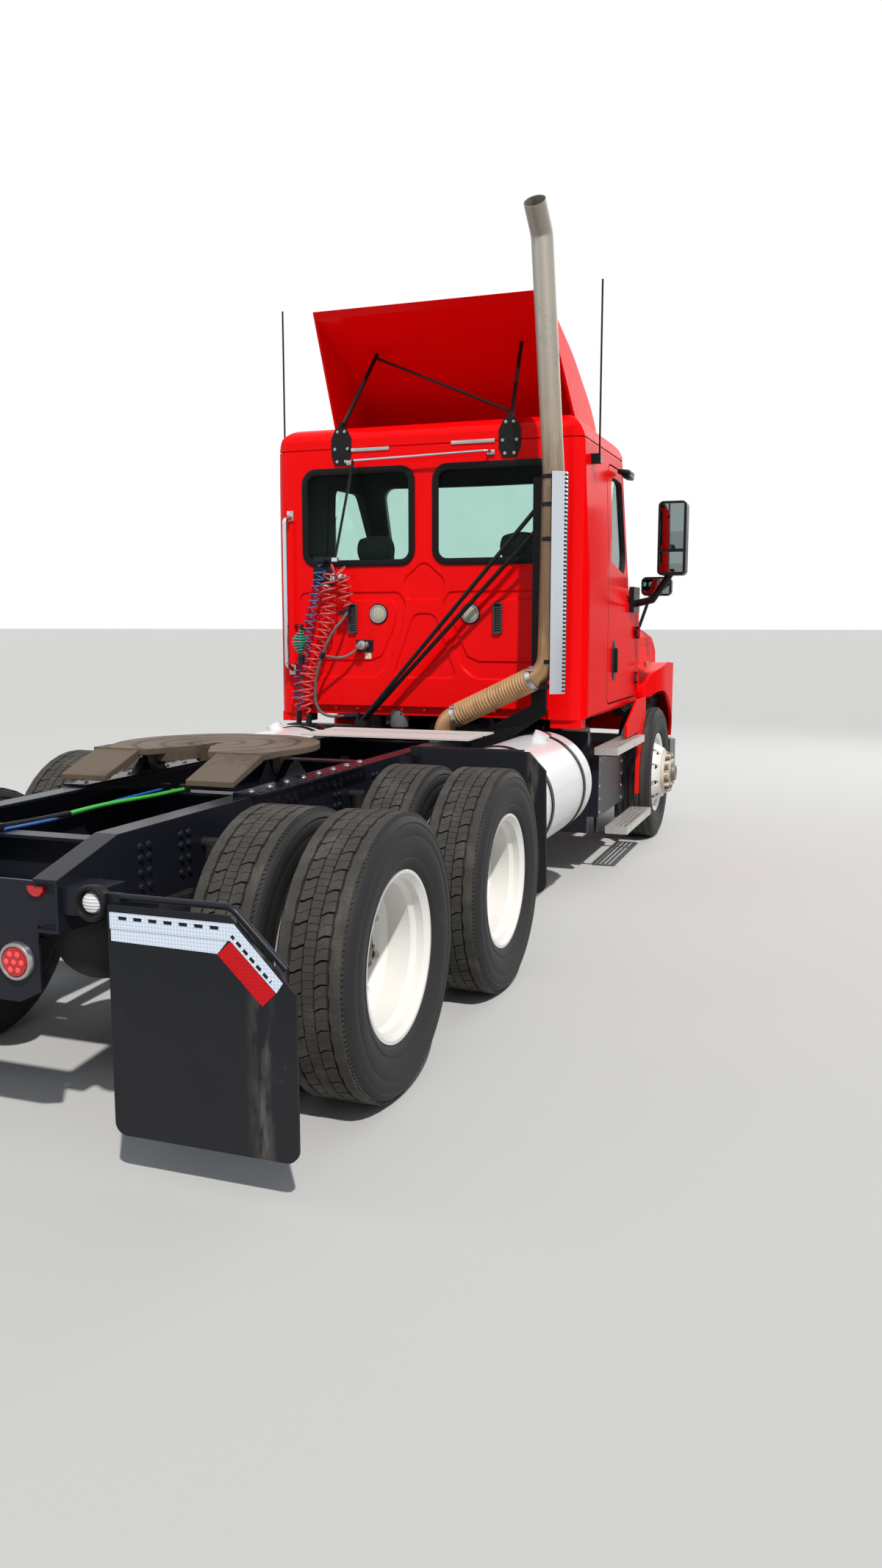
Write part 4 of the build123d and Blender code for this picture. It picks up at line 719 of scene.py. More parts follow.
def head_lamp_painted_reflectors():
    """Clear lens with two round reflector bowls painted on it: rings of painted highlight and painted shade about each
    bulb, in a dark housing.
    """
    material = finish("head_lamp_painted_reflectors", (0.5, 0.51, 0.53), 0.1, cover=0.05, low=0.1, scale=6, coat=0.6)
    tree = material.node_tree
    fold = add_node(tree, "ShaderNodeVectorMath", {0: object_place(tree)}, operation="ABSOLUTE").outputs["Vector"]
    rims = [reach_from(tree, fold, (0, -across, -height), (0, 1, 1)) for across, height in ((0.76, 1.0), (0.95, 1.03))]
    nearest = reckon(tree, "MULTIPLY", reckon(tree, "MINIMUM", *rims), 8.0)
    # The bright and dim rings are painted reflections of the reflector bowls; the dark outer band is the housing.
    overlay(tree, 1.0, ramp(tree, nearest, (0.0, (1.4, 1.4, 1.4)), (0.12, (0.35, 0.35, 0.36)),
                            (0.28, (1.3, 1.3, 1.3)), (0.5, (0.7, 0.7, 0.72)), (0.58, (1.2, 1.2, 1.2)),
                            (0.66, (0.12, 0.12, 0.13))))
    return material


clothe(head_lamp_painted_reflectors(), "head_lamps")


# Mud flaps
# Moulded rubber sheets, scuffed and dusty, under slotted black angles with a white and a red reflective strip.

flap_rubber = finish("flap_rubber", (0.011, 0.012, 0.015), 0.6, dirt=(0.075, 0.073, 0.07), cover=0.1, low=0.14,
                     height=0.9, scale=3, grain=0.15, specular=0.15)


def scuff(material):
    """Adds the pale upright band that road spray rubs into each flap near its outer edge."""
    tree = material.node_tree
    place = object_place(tree)
    across = reckon(tree, "ABSOLUTE", split(tree, place)["Y"])
    off_band = reckon(tree, "ABSOLUTE", reckon(tree, "SUBTRACT", across, 1.12))
    clouds = noise(tree, mapped(tree, place, Scale=(1, 14, 3.5)), 2.0, 6)
    share = reckon(tree, "MULTIPLY", share_between(tree, off_band, 0.05, 0.0),
                   share_between(tree, clouds, 0.42, 0.68))
    overlay(tree, share, (0.1, 0.096, 0.088, 1), "MIX")


scuff(flap_rubber)
clothe(flap_rubber, "mud_flaps")
clothe(finish("tail_lamp_red", (0.5, 0.01, 0.012), 0.15, cover=0.05, low=0.1, scale=6, coat=0.8), "tail_lamps")


# Work lamps and vents on the rear wall
# Two round work lamps with ribbed lenses in screwed bezels, and two tall louvred cabin vents of black plastic.

def turn(mesh_tools, profile, centre, along, steps=32):
    """Spins a profile of (distance along, radius) pairs about a line into a closed skin."""
    along = Vector(along).normalized()
    side = along.orthogonal().normalized()
    verts = [mesh_tools.verts.new(Vector(centre) + along * distance + side * radius) for distance, radius in profile]
    edges = [mesh_tools.edges.new(pair) for pair in zip(verts, verts[1:])]
    bmesh.ops.spin(mesh_tools, geom=verts + edges, cent=centre, axis=along, dvec=(0, 0, 0), angle=2 * pi,
                   steps=steps, use_merge=True, use_duplicate=False)
    bmesh.ops.remove_doubles(mesh_tools, verts=mesh_tools.verts[:], dist=0.00001)


def soft_box(mesh_tools, low, high, rounding, turned=None):
    """A box with rounded edges between two corners, turned about its middle where asked."""
    size = Vector(high) - Vector(low)
    middle = (Vector(high) + Vector(low)) / 2
    made = bmesh.ops.create_cube(mesh_tools, size=1.0, matrix=Matrix.Translation(middle)
                                 @ (turned or Matrix.Identity(4)) @ Matrix.Diagonal((*size, 1)))
    edges = list({edge for vert in made["verts"] for edge in vert.link_edges})
    bmesh.ops.bevel(mesh_tools, geom=edges, offset=rounding, offset_type="OFFSET", affect="EDGES", segments=2,
                    profile=0.5, material=-1)


def bolts(mesh_tools, spots, facing, radius, height):
    """Six-sided heads on flat washers, facing one way."""
    facing = Vector(facing).normalized()
    level = facing.to_track_quat("Z", "Y").to_matrix().to_4x4()
    for spot in spots:
        for size, thick, corners in ((radius, height, 6), (radius * 1.35, height * 0.3, 16)):
            bmesh.ops.create_cone(mesh_tools, cap_ends=True, segments=corners, radius1=size, radius2=size * 0.92,
                                  depth=thick, matrix=Matrix.Translation(Vector(spot) + facing * (thick / 2)) @ level)


def ribbed_lens(name, colour, scale, direction):
    """Moulded lens with fine parallel ribs and a bright glaze; the ribs' troughs are painted darker as painted shade.
    """
    material, tree, shader = blank_material(name)
    ribs = add_node(tree, "ShaderNodeTexWave", {"Vector": object_place(tree), "Scale": scale},
                    bands_direction=direction).outputs["Fac"]
    bump = add_node(tree, "ShaderNodeBump", {"Height": ribs, "Strength": 0.5, "Distance": 0.002})
    # The ramp paints each rib's trough at a little over half the colour: painted shade along the ribs.
    feed(tree, shader, {"Base Color": ramp(tree, ribs, (0.0, [0.55 * part for part in colour]), (1.0, colour)),
                        "Normal": bump.outputs["Normal"], "Roughness": 0.12, "Coat Weight": 0.15})
    return material


rearward = (-1, 0, 0)


clear_lens = ribbed_lens("clear_lens", (0.5, 0.49, 0.38), 26, "Y")
bezel_steel = finish("bezel_steel", (0.42, 0.42, 0.42), 0.3, dirt=(0.1, 0.09, 0.08), cover=0.25, low=0.0, scale=20,
                     metallic=0.9)
bolt_steel = finish("bolt_steel", (0.4, 0.4, 0.39), 0.4, dirt=(0.12, 0.09, 0.07), cover=0.35, low=0.2, scale=25,
                    metallic=0.8, grain=0.2)
vent_plastic = finish("vent_plastic", (0.045, 0.045, 0.048), 0.55, cover=0.15, low=0.0, scale=14, grain=0.3,
                      specular=0.3)
for side_name, side in sides:
    lamp_y, lamp_z = side * 0.32, 1.77
    centre = (rear_wall_x, lamp_y, lamp_z)
    gasket = bmesh.new()
    turn(gasket, [(0.0, 0.0), (0.0, 0.068), (0.004, 0.068), (0.006, 0.064), (0.006, 0.0)], centre, rearward, 40)
    face_outward(gasket)
    show("work_lamp_gasket_" + side_name, gasket, seal_rubber, "chassis")
    bezel = bmesh.new()
    turn(bezel, [(0.003, 0.0), (0.003, 0.061), (0.01, 0.061), (0.014, 0.058), (0.014, 0.05), (0.009, 0.047),
                 (0.006, 0.0)], centre, rearward, 40)
    bolts(bezel, [(rear_wall_x - 0.012, lamp_y + 0.0545 * cos(radians(angle)), lamp_z + 0.0545 * sin(radians(angle)))
                  for angle in (90, 210, 330)], rearward, 0.004, 0.003)
    face_outward(bezel)
    piece = show("work_lamp_bezel_" + side_name, bezel, bezel_steel, "chassis")
    lens = bmesh.new()
    turn(lens, [(0.007, 0.0), (0.007, 0.0475), (0.0115, 0.0465), (0.0145, 0.036), (0.016, 0.018), (0.0165, 0.0)],
         centre, rearward, 40)
    face_outward(lens)
    show("work_lamp_lens_" + side_name, lens, clear_lens, "chassis")
    vent = bmesh.new()
    low_y, high_y = sorted((side * 0.473, side * 0.535))
    rounded_ring(vent, (low_y, 1.64), (high_y, 1.84), 0.014, 0.012, rear_wall_x, 0.021)
    for step in range(12):
        z = 1.656 + step * 0.0153
        soft_box(vent, (rear_wall_x - 0.014, low_y + 0.008, z - 0.001),
                 (rear_wall_x - 0.002, high_y - 0.008, z + 0.001), 0.0004, Matrix.Rotation(radians(-40), 4, "Y"))
    soft_box(vent, (rear_wall_x - 0.003, low_y + 0.008, 1.648), (rear_wall_x, high_y - 0.008, 1.832), 0.001)
    show("cabin_vent_" + side_name, vent, vent_plastic, "chassis")
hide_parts("rear_wall_fittings")


# Trim and fastenings on the rear wall
# Two flat bright strips under the roof seam, lugs at the thin rail's ends, bolts through the deflector's hinge plates
# and along the lower flange, and one small blank label.

strips = bmesh.new()
for y0, y1, z in ((0.237, 0.54, 2.83), (-0.478, -0.188, 2.842)):
    soft_box(strips, (rear_wall_x - 0.008, y0, z - 0.012), (rear_wall_x - 0.0005, y1, z + 0.012), 0.003)
show("bright_strips", strips, bezel_steel, "chassis")
lugs = bmesh.new()
for y, z in ((0.511, 2.75), (-0.455, 2.77)):
    soft_box(lugs, (rear_wall_x - 0.016, y - 0.026, z - 0.016), (rear_wall_x, y + 0.026, z + 0.016), 0.005)
    bolts(lugs, [(rear_wall_x - 0.016, y + offset, z) for offset in (-0.014, 0.014)], (-1, 0, 0), 0.006, 0.004)
for z in (2.421, 1.395):
    soft_box(lugs, (rear_wall_x - 0.012, 0.93, z - 0.035), (rear_wall_x, 0.98, z + 0.035), 0.005)
show("rail_lugs", lugs, bezel_steel, "chassis")
plate_bolts = bmesh.new()
bolts(plate_bolts, [(rear_wall_x - 0.008, side * y, z) for side in (1, -1)
                    for y, z in ((0.545, 2.76), (0.605, 2.76), (0.53, 2.84), (0.62, 2.84), (0.55, 2.95), (0.6, 2.95))],
      (-1, 0, 0), 0.008, 0.005)
show("hinge_plate_bolts", plate_bolts, bolt_steel, "chassis", smooth=False)
flange_bolts = bmesh.new()
bolts(flange_bolts, [(rear_wall_x + 0.004, -0.8 + 0.16 * step, 1.14) for step in range(11)], (-1, 0, 0), 0.008, 0.004)
show("lower_flange_bolts", flange_bolts, red_enamel, "chassis", smooth=False)
label = bmesh.new()
soft_box(label, (rear_wall_x - 0.001, 0.375, 1.475), (rear_wall_x + 0.001, 0.42, 1.515), 0.0008)
show("blank_label", label, finish("label_film", (0.7, 0.66, 0.52), 0.5, dirt=(0.5, 0.3, 0.1), cover=0.3, low=0.0,
                                  scale=30), "chassis", smooth=False)


# Air coupling and hose clips
# A cast coupling head parked on the wall for the short lead, white clips that hold the coils' upper ends, and a dark
# drier canister hung under the cab's rear edge.

cast_alloy = finish("cast_alloy", (0.3, 0.3, 0.29), 0.45, dirt=(0.07, 0.065, 0.06), cover=0.4, low=0.0, scale=30,
                    metallic=0.7, grain=0.4)
coupling_head = bmesh.new()
turn(coupling_head, [(-0.03, 0.0), (-0.03, 0.017), (0.0, 0.0195), (0.006, 0.026), (0.03, 0.027), (0.034, 0.02),
                     (0.05, 0.0185), (0.054, 0.0)], (0.497, 0.43, 1.56), (0.2, -1.0, 0.25), 24)
turn(coupling_head, [(0.0, 0.0), (0.0, 0.031), (0.009, 0.033), (0.02, 0.028), (0.024, 0.016), (0.026, 0.0)],
     (0.492, 0.42, 1.563), (-1, 0, 0.15), 24)
face_outward(coupling_head)
show("coupling_head", coupling_head, cast_alloy, "chassis")
clips = bmesh.new()
for low, high in (((0.462, 0.6, 1.985), (0.532, 0.636, 2.035)), ((0.452, 0.545, 2.0), (0.53, 0.575, 2.03)),
                  ((0.47, 0.664, 1.94), (0.532, 0.7, 1.962))):
    soft_box(clips, low, high, 0.006)
show("hose_clips", clips, finish("clip_nylon", (0.6, 0.62, 0.64), 0.45, dirt=(0.3, 0.28, 0.25), cover=0.25, low=0.0,
                                 scale=24), "chassis")
canister = bmesh.new()
turn(canister, [(0.0, 0.0), (0.0, 0.052), (0.008, 0.062), (0.1, 0.064), (0.118, 0.058), (0.122, 0.045), (0.135, 0.045),
                (0.135, 0.0)], (0.62, 0.207, 1.015), (0, 0, 1), 32)
soft_box(canister, (0.585, 0.16, 1.145), (0.655, 0.254, 1.166), 0.003)
face_outward(canister)
show("drier_canister", canister, finish("canister_grey", (0.1, 0.1, 0.105), 0.5, cover=0.3, low=0.2, scale=14,
                                        grain=0.2), "chassis")


# Flexible exhaust run
# A corrugated steel bellows, tanned by heat, clamped between the elbow and the upright stack.

flex_spots = (Vector((0.33, -0.215, 1.09)), Vector((0.28, -0.56, 1.25)), Vector((0.2, -0.925, 1.42)))
tanned_steel = finish("tanned_steel", (0.5, 0.3, 0.15), 0.45, dirt=(0.16, 0.1, 0.06), cover=0.34, low=0.0, scale=14,
                      metallic=0.3, grain=0.2)
flex = bmesh.new()
clamps = bmesh.new()
for start, end, lead, trail in ((flex_spots[0], flex_spots[1], 0.1, 0.0), (flex_spots[1], flex_spots[2], 0.0, 0.11)):
    along = (end - start).normalized()
    length = (end - start).length - lead - trail
    pitch = 0.021
    turns = int(length / pitch)
    profile = []
    for step in range(turns):
        for share, radius in ((0.0, 0.0655), (0.3, 0.075), (0.55, 0.0755), (0.85, 0.0655)):
            profile.append(((step + share) * pitch, radius))
    turn(flex, profile, start + along * lead, along, 30)
for spot, towards in ((flex_spots[0], flex_spots[1]), (flex_spots[2], flex_spots[1])):
    along = (towards - spot).normalized()
    place = spot + along * 0.105
    turn(clamps, [(-0.016, 0.066), (-0.016, 0.0745), (0.016, 0.0745), (0.016, 0.066)], place, along, 36)
    lug = place + Vector((-0.06, 0, 0.05))
    bmesh.ops.create_cone(clamps, cap_ends=True, segments=12, radius1=0.007, radius2=0.007, depth=0.06,
                          matrix=Matrix.Translation(lug) @ Matrix.Rotation(radians(90), 4, "X"))
face_outward(flex, clamps)
show("exhaust_bellows", flex, tanned_steel, "chassis")
show("bellows_clamps", clamps, bezel_steel, "chassis")


# Heat shield edge and post
# The polished shield's outboard edge is folded into a pierced strip that lets air through, and its post is an
# angle whose inboard flange carries the rungs' bolts.

# The pierced strip's openings are drawn as black slats on the shield's edge: painted shade where the holes would show
# dark.
edging = bmesh.new()
for step in range(54):
    z = 1.3 + step * 0.0238
    soft_box(edging, (0.165, -1.0335, z), (0.205, -1.0285, z + 0.0125), 0.0015, Matrix.Rotation(radians(-11), 4, "Z"))
show("shield_pierced_edge", edging, moulded_black, "chassis", smooth=False)
flange = bmesh.new()
soft_box(flange, (0.335, -0.835, 1.2), (0.341, -0.785, 2.58), 0.0015)
soft_box(flange, (0.341, -0.791, 1.2), (0.372, -0.785, 2.58), 0.0015)
bolts(flange, [(0.335, -0.81, 1.26 + step * 0.21) for step in range(7)], (-1, 0, 0), 0.007, 0.004)
show("post_flange", flange, bracket_black, "chassis", smooth=False)


# Rear lamps, markers and flap strips
# Sealed round lamps with seven bright chips behind a red lens in a notched steel ring, a half-round red marker at
# each rail's tip, and white and red reflective strips along the top of each mud flap.

lamp_face_x = -3.756
rear_lamp_z = 0.655
red_lens = ribbed_lens("red_lens", (0.6, 0.004, 0.008), 60, "Z")
chip_bright = speckled("lamp_chip", 0.15, 160, 2.0, (0.0, (0.75, 0.02, 0.025)), (1.0, (1.0, 0.16, 0.13)))
rings = bmesh.new()
lenses = bmesh.new()
chips = bmesh.new()
for y in (0.25, 0.12, -0.12, -0.25):
    centre = (lamp_face_x + 0.026, y, rear_lamp_z)
    turn(rings, [(0.0, 0.0), (0.0, 0.062), (0.016, 0.0615), (0.021, 0.058), (0.021, 0.05), (0.016, 0.047),
                 (0.012, 0.0)], centre, rearward, 40)
    turn(lenses, [(0.012, 0.0), (0.012, 0.0475), (0.0215, 0.0455), (0.0235, 0.03), (0.024, 0.0)], centre, rearward, 40)
    for step in range(7):
        angle = radians(60 * step)
        reach = 0.0 if step == 6 else 0.0285
        spot = (lamp_face_x + 0.0025, y + reach * cos(angle), rear_lamp_z + reach * sin(angle))
        turn(chips, [(0.0, 0.0095), (0.0016, 0.0085), (0.0024, 0.005), (0.0026, 0.0)], spot, rearward, 16)
face_outward(rings, lenses, chips)
piece = show("tail_lamp_rings", rings, bezel_steel, "chassis")
show("tail_lamp_lenses", lenses, red_lens, "chassis")
show("tail_lamp_chips", chips, chip_bright, "chassis")
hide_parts("tail_lamps")
markers = bmesh.new()
for side in (1, -1):
    bmesh.ops.create_cone(markers, cap_ends=True, segments=24, radius1=0.034, radius2=0.03, depth=0.012,
                          matrix=Matrix.Translation((-3.737, side * 0.335, 0.9))
                          @ Matrix.Rotation(radians(-90), 4, "Y"))
    bmesh.ops.bisect_plane(markers, geom=markers.verts[:] + markers.edges[:] + markers.faces[:],
                           plane_co=(0, 0, 0.902), plane_no=(0, 0, 1), clear_outer=True)
bmesh.ops.holes_fill(markers, edges=markers.edges[:])
show("rail_tip_markers", markers, red_lens, "chassis")


def reflective(name, colour):
    """Prismatic tape: a fine diamond net under a clear film."""
    material = finish(name, colour, 0.3, dirt=tuple(0.55 * part for part in colour), cover=0.2, low=0.1, scale=9,
                      grain=0.1, specular=0.2)
    tree = material.node_tree
    turned = mapped(tree, object_place(tree), Rotation=(radians(45), 0, 0), Scale=(130, 130, 130))
    net = add_node(tree, "ShaderNodeTexChecker", {"Vector": turned, "Scale": 1.0, "Color1": (1, 1, 1, 1),
                                                  "Color2": (0.8, 0.8, 0.8, 1)})
    overlay(tree, 1.0, net.outputs["Color"])
    return material


white_tape = reflective("white_tape", (0.66, 0.74, 0.86))
red_tape = reflective("red_tape", (0.55, 0.004, 0.008))


def slotted(material):
    """Copies the tape's finish with a row of dark slots painted along the slanted strips: painted shade where openings
    would show, with nothing cut.
    """
    slanted = material.copy()
    tree = slanted.node_tree
    place = split(tree, object_place(tree))
    across = reckon(tree, "ABSOLUTE", place["Y"])
    off_line = reckon(tree, "ABSOLUTE", reckon(tree, "SUBTRACT", reckon(tree, "ADD", across, place["Z"]), 1.849))
    along = reckon(tree, "SUBTRACT", across, place["Z"])
    near = reckon(tree, "LESS_THAN", off_line, 0.0075)
    within = reckon(tree, "LESS_THAN", reckon(tree, "ABSOLUTE", reckon(tree, "SUBTRACT", along, 0.343)), 0.125)
    open_part = reckon(tree, "LESS_THAN", reckon(tree, "FRACT", reckon(tree, "DIVIDE", along, 0.042)), 0.62)
    slot_shade_mask = reckon(tree, "MULTIPLY", near, reckon(tree, "MULTIPLY", within, open_part))
    # The slots are painted shade on the strip, not holes.
    overlay(tree, slot_shade_mask, (0.008, 0.008, 0.009, 1), "MIX")
    return slanted


mesh = nodes["flap_hangers"].data
mesh.materials.append(slotted(white_tape))
for face in mesh.polygons:
    if face.center.x < -3.7595:
        face.material_index = 1
tape_x = -3.7605
tape_thickness = 0.0014


def tape(name, outline, material):
    """A thin strip stuck to both flaps' faces."""
    strip = bmesh.new()
    for side in (1, -1):
        face = strip.faces.new([strip.verts.new((tape_x, side * y, z)) for y, z in outline])
        extrude(strip, [face], (-tape_thickness, 0, 0))
    face_outward(strip)
    show(name, strip, material, "chassis", smooth=False)


tape("flap_white_tape", [(0.622, 0.799), (1.02, 0.799), (0.985, 0.757), (0.622, 0.762)], white_tape)
tape("flap_red_tape", [(1.029, 0.798), (1.172, 0.658), (1.128, 0.615), (0.985, 0.755)], red_tape)
flap_bolts = bmesh.new()
bolts(flap_bolts, [(-3.7625, side * y, z) for side in (1, -1)
                   for y, z in ((0.64, 0.812), (0.83, 0.812), (1.015, 0.815), (1.06, 0.79), (1.165, 0.69))],
      (-1, 0, 0), 0.0085, 0.0012)
bolts(flap_bolts, [(-3.716, side * y, z) for side in (1, -1) for y, z in ((0.56, 0.87), (0.61, 0.85))], (-1, 0, 0),
      0.011, 0.01)
show("flap_bolts", flap_bolts, bolt_steel, "chassis", smooth=False)


# Frame fastenings and pipes
# Flanged bolts hold every cross member and hanger to the rails. A green and a blue brake pipe leave a black conduit
# that lies over the rear cross members, and a round clear lamp in a black housing sits on each flap's hanger.

rail_face_y = 0.4322
rail_bolts = bmesh.new()
spots = []
for x in (-3.3, -2.2, -0.9, 0.16, -3.05, -2.62, -1.75, -1.3):
    for offset in (-0.025, 0.025):
        for z in (0.815, 0.865, 0.915, 0.955):
            spots.append((x + offset, z))
for side in (1, -1):
    bolts(rail_bolts, [(x, side * rail_face_y, z) for x, z in spots], (0, side, 0), 0.011, 0.009)
    bolts(rail_bolts, [(-3.55, side * rail_face_y, z) for z in (0.80, 0.84, 0.88)], (0, side, 0), 0.011, 0.009)
show("rail_bolts", rail_bolts, chassis_black_sky_sheen, "chassis", smooth=False)
angle_bolts = bmesh.new()
bolts(angle_bolts, [(-2.5 + step * 0.155, side * 0.4, 1.032) for side in (1, -1) for step in range(8)], (0, 0, 1),
      0.011, 0.009)
show("coupling_angle_bolts", angle_bolts, bolt_steel, "chassis", smooth=False)


def pipe(name, points, radius, material):
    """A stiff pipe along a smooth line."""
    curve = bpy.data.curves.new(name, "CURVE")
    curve.dimensions = "3D"
    curve.resolution_u = 8
    curve.bevel_depth = radius
    curve.bevel_resolution = 3
    curve.use_fill_caps = True
    nurbs_spline(curve, points)
    holder = bpy.data.objects.new(name + "_line", curve)
    tools = bmesh.new()
    tools.from_mesh(bpy.data.meshes.new_from_object(holder))
    bpy.data.objects.remove(holder)
    show(name, tools, material, "chassis")


rail_top = 1.02
member_top = rail_top - 0.05
conduit_z = member_top + 0.012
pipe("brake_conduit", [(-3.68, 0.2, 0.78), (-3.6, 0.2, 0.87), (-3.46, 0.19, 0.955), (-3.34, 0.18, conduit_z),
                       (-3.26, 0.175, conduit_z), (-3.1, 0.155, conduit_z - 0.004), (-2.95, 0.14, conduit_z - 0.002)],
     0.012, seal_rubber)
pipe("brake_pipe_green", [(-2.97, 0.141, conduit_z - 0.002), (-2.8, 0.15, conduit_z), (-2.6, 0.15, conduit_z - 0.004),
                          (-2.4, 0.12, conduit_z - 0.006), (-2.2, 0.1, conduit_z - 0.004)],
     0.0085, finish("pipe_green", (0.05, 0.5, 0.06), 0.35, dirt=(0.04, 0.12, 0.04), cover=0.2, low=0.0, scale=24))
pipe("brake_pipe_blue", [(-3.3, 0.148, conduit_z - 0.004), (-3.1, 0.13, conduit_z - 0.008),
                         (-2.9, 0.16, conduit_z - 0.012), (-2.72, 0.2, conduit_z - 0.016),
                         (-2.5, 0.21, conduit_z - 0.01), (-2.2, 0.2, conduit_z - 0.006)],
     0.006, finish("pipe_blue", (0.02, 0.12, 0.45), 0.35, dirt=(0.02, 0.05, 0.12), cover=0.2, low=0.0, scale=24))
clamps = bmesh.new()
for x, y in ((-3.3, 0.178), (-2.2, 0.1), (-2.2, 0.2)):
    soft_box(clamps, (x - 0.012, y - 0.024, member_top), (x + 0.012, y + 0.024, rail_top - 0.022), 0.004)
show("pipe_clamps", clamps, bracket_black, "chassis")
housings = bmesh.new()
glasses = bmesh.new()
for side in (1, -1):
    centre = (-3.7105, side * 0.545, 0.868)
    turn(housings, [(0.0, 0.0), (0.0, 0.05), (0.03, 0.056), (0.045, 0.057), (0.051, 0.053), (0.051, 0.043),
                    (0.029, 0.037), (0.029, 0.0)], centre, rearward, 32)
    turn(glasses, [(0.03, 0.0), (0.03, 0.035), (0.039, 0.03), (0.045, 0.014), (0.046, 0.0)], centre, rearward, 28)
face_outward(housings, glasses)
show("hanger_lamp_housings", housings, moulded_black, "chassis")
show("hanger_lamp_glasses", glasses, ribbed_lens("frosted_lens", (0.8, 0.82, 0.84), 30, "Z"), "chassis")


# Wheel hubs
# Drive hubs end in a bolted axle flange; the steered wheels have a turned cap.

hub_grey = finish("hub_grey", (0.2, 0.19, 0.17), 0.5, dirt=(0.2, 0.13, 0.07), cover=0.45, low=0.0, scale=18,
                  metallic=0.5, grain=0.4)


def hub_end(name, profile, centre, side, fastening, body):
    """A turned end on a hub. Its bolts are given as circle radius, count, rise, head radius and head height."""
    end = bmesh.new()
    circle, count, rise, bolt_radius, bolt_height = fastening
    turn(end, profile, centre, (0, side, 0), 36)
    angles = [2 * pi * step / count for step in range(count)]
    bolts(end, [(centre[0] + circle * cos(angle), centre[1] + side * rise, wheel_radius + circle * sin(angle))
                for angle in angles], (0, side, 0), bolt_radius, bolt_height)
    face_outward(end)
    show(name, end, hub_grey, body)


for wheel, axle_x, side in drive_wheels:
    hub_end("axle_flange_" + wheel, [(0.0, 0.0), (0.0, 0.1), (0.012, 0.1), (0.016, 0.094), (0.016, 0.06),
                                     (0.03, 0.052), (0.034, 0.03), (0.034, 0.0)],
            (axle_x, side * 1.0285, wheel_radius), side, (0.08, 8, 0.016, 0.0105, 0.011), "drive_wheels_" + wheel)
for side_name, side in sides:
    hub_end("hub_cap_" + side_name, [(0.0, 0.0), (0.0, 0.078), (0.008, 0.078), (0.01, 0.066), (0.03, 0.062),
                                     (0.034, 0.056), (0.034, 0.04), (0.03, 0.036), (0.03, 0.0)],
            (steer_axle_x, side * 1.3035, wheel_radius), side, (0.07, 6, 0.008, 0.007, 0.006),
            "steer_wheel_" + side_name)


# Mirror glass, door handles and side lamps
# Flat glasses in the mirror housings, dark recessed door handles and small amber lamps on the fenders.

silvered = finish("silvered_glass", (0.24, 0.29, 0.29), 0.04, cover=0.05, low=0.0, scale=12, metallic=1.0)
amber_lens = ribbed_lens("amber_lens", (0.85, 0.22, 0.01), 70, "X")
for side_name, side in sides:
    glass = bmesh.new()
    low_y, high_y = sorted((side * 1.308, side * 1.472))
    soft_box(glass, (1.851, low_y, 2.235), (1.856, high_y, 2.552), 0.002)
    soft_box(glass, (1.8505, low_y, 2.072), (1.856, high_y, 2.214), 0.0022)
    show("door_mirror_glass_" + side_name, glass, silvered, "door_" + side_name)
    glass = bmesh.new()
    low_y, high_y = sorted((side * 1.015, side * 1.225))
    soft_box(glass, (2.8565, low_y, 1.945), (2.861, high_y, 2.065), 0.0018)
    show("hood_mirror_glass_" + side_name, glass, silvered, "hood")
    handle = bmesh.new()
    bmesh.ops.create_uvsphere(handle, u_segments=28, v_segments=16, radius=1.0,
                              matrix=Matrix.Translation((1.43, side * 1.074, 1.455))
                              @ Matrix.Diagonal((0.075, 0.016, 0.15, 1)))
    low_y, high_y = sorted((side * 1.082, side * 1.108))
    soft_box(handle, (1.405, low_y, 1.37), (1.43, high_y, 1.54), 0.005)
    show("door_handle_" + side_name, handle, moulded_black, "door_" + side_name)
    lens = bmesh.new()
    low_y, high_y = sorted((side * 1.118, side * 1.142))
    soft_box(lens, (2.39, low_y, 1.378), (2.47, high_y, 1.414), 0.007)
    show("side_lamp_" + side_name, lens, amber_lens, "hood")
visor = bmesh.new()
soft_box(visor, (1.44, -1.16, 2.715), (1.62, -1.07, 2.75), 0.014, Matrix.Rotation(radians(8), 4, "X"))
soft_box(visor, (1.45, -1.158, 2.69), (1.61, -1.105, 2.722), 0.01, Matrix.Rotation(radians(8), 4, "X"))
show("look_down_mirror", visor, moulded_black, "door_right")


# Hood sides and battery box fastenings
# A flat enamelled panel closes each side of the hood between its top and the fender, and rows of bright bolts hold
# the battery box covers.

side_outline = [(2.405, 1.21), (2.46, 1.262), (2.52, 1.305), (2.6, 1.332), (2.75, 1.358), (2.9, 1.384), (3.25, 1.371),
                (3.35, 1.354), (3.44, 1.316), (3.598, 1.222), (3.602, 1.45), (3.55, 1.495), (3.45, 1.556),
                (3.36, 1.585), (2.405, 1.585)]
for side_name, side in sides:
    panel = bmesh.new()
    face = panel.faces.new([panel.verts.new((x, side * 0.9985, z)) for x, z in side_outline])
    extrude(panel, [face], (0, -side * 0.012, 0))
    face_outward(panel)
    # Each hood side panel takes the side-shaded copy of the enamel: painted shade for how light falls on the sides.
    show("hood_side_panel_" + side_name, panel, side_shaded_enamel, "hood", smooth=False)
box_cover_y = 1.06
box_bolts = bmesh.new()
for side in (1, -1):
    bolts(box_bolts, [(x, side * box_cover_y, z) for x in (1.11, 1.87) for z in (0.43, 0.52, 0.61, 0.7, 0.79)],
          (0, side, 0), 0.009, 0.006)
    bolts(box_bolts, [(1.24 + 0.155 * step, side * box_cover_y, 0.8) for step in range(5)], (0, side, 0), 0.009, 0.006)
show("battery_box_bolts", box_bolts, bolt_steel, "chassis", smooth=False)


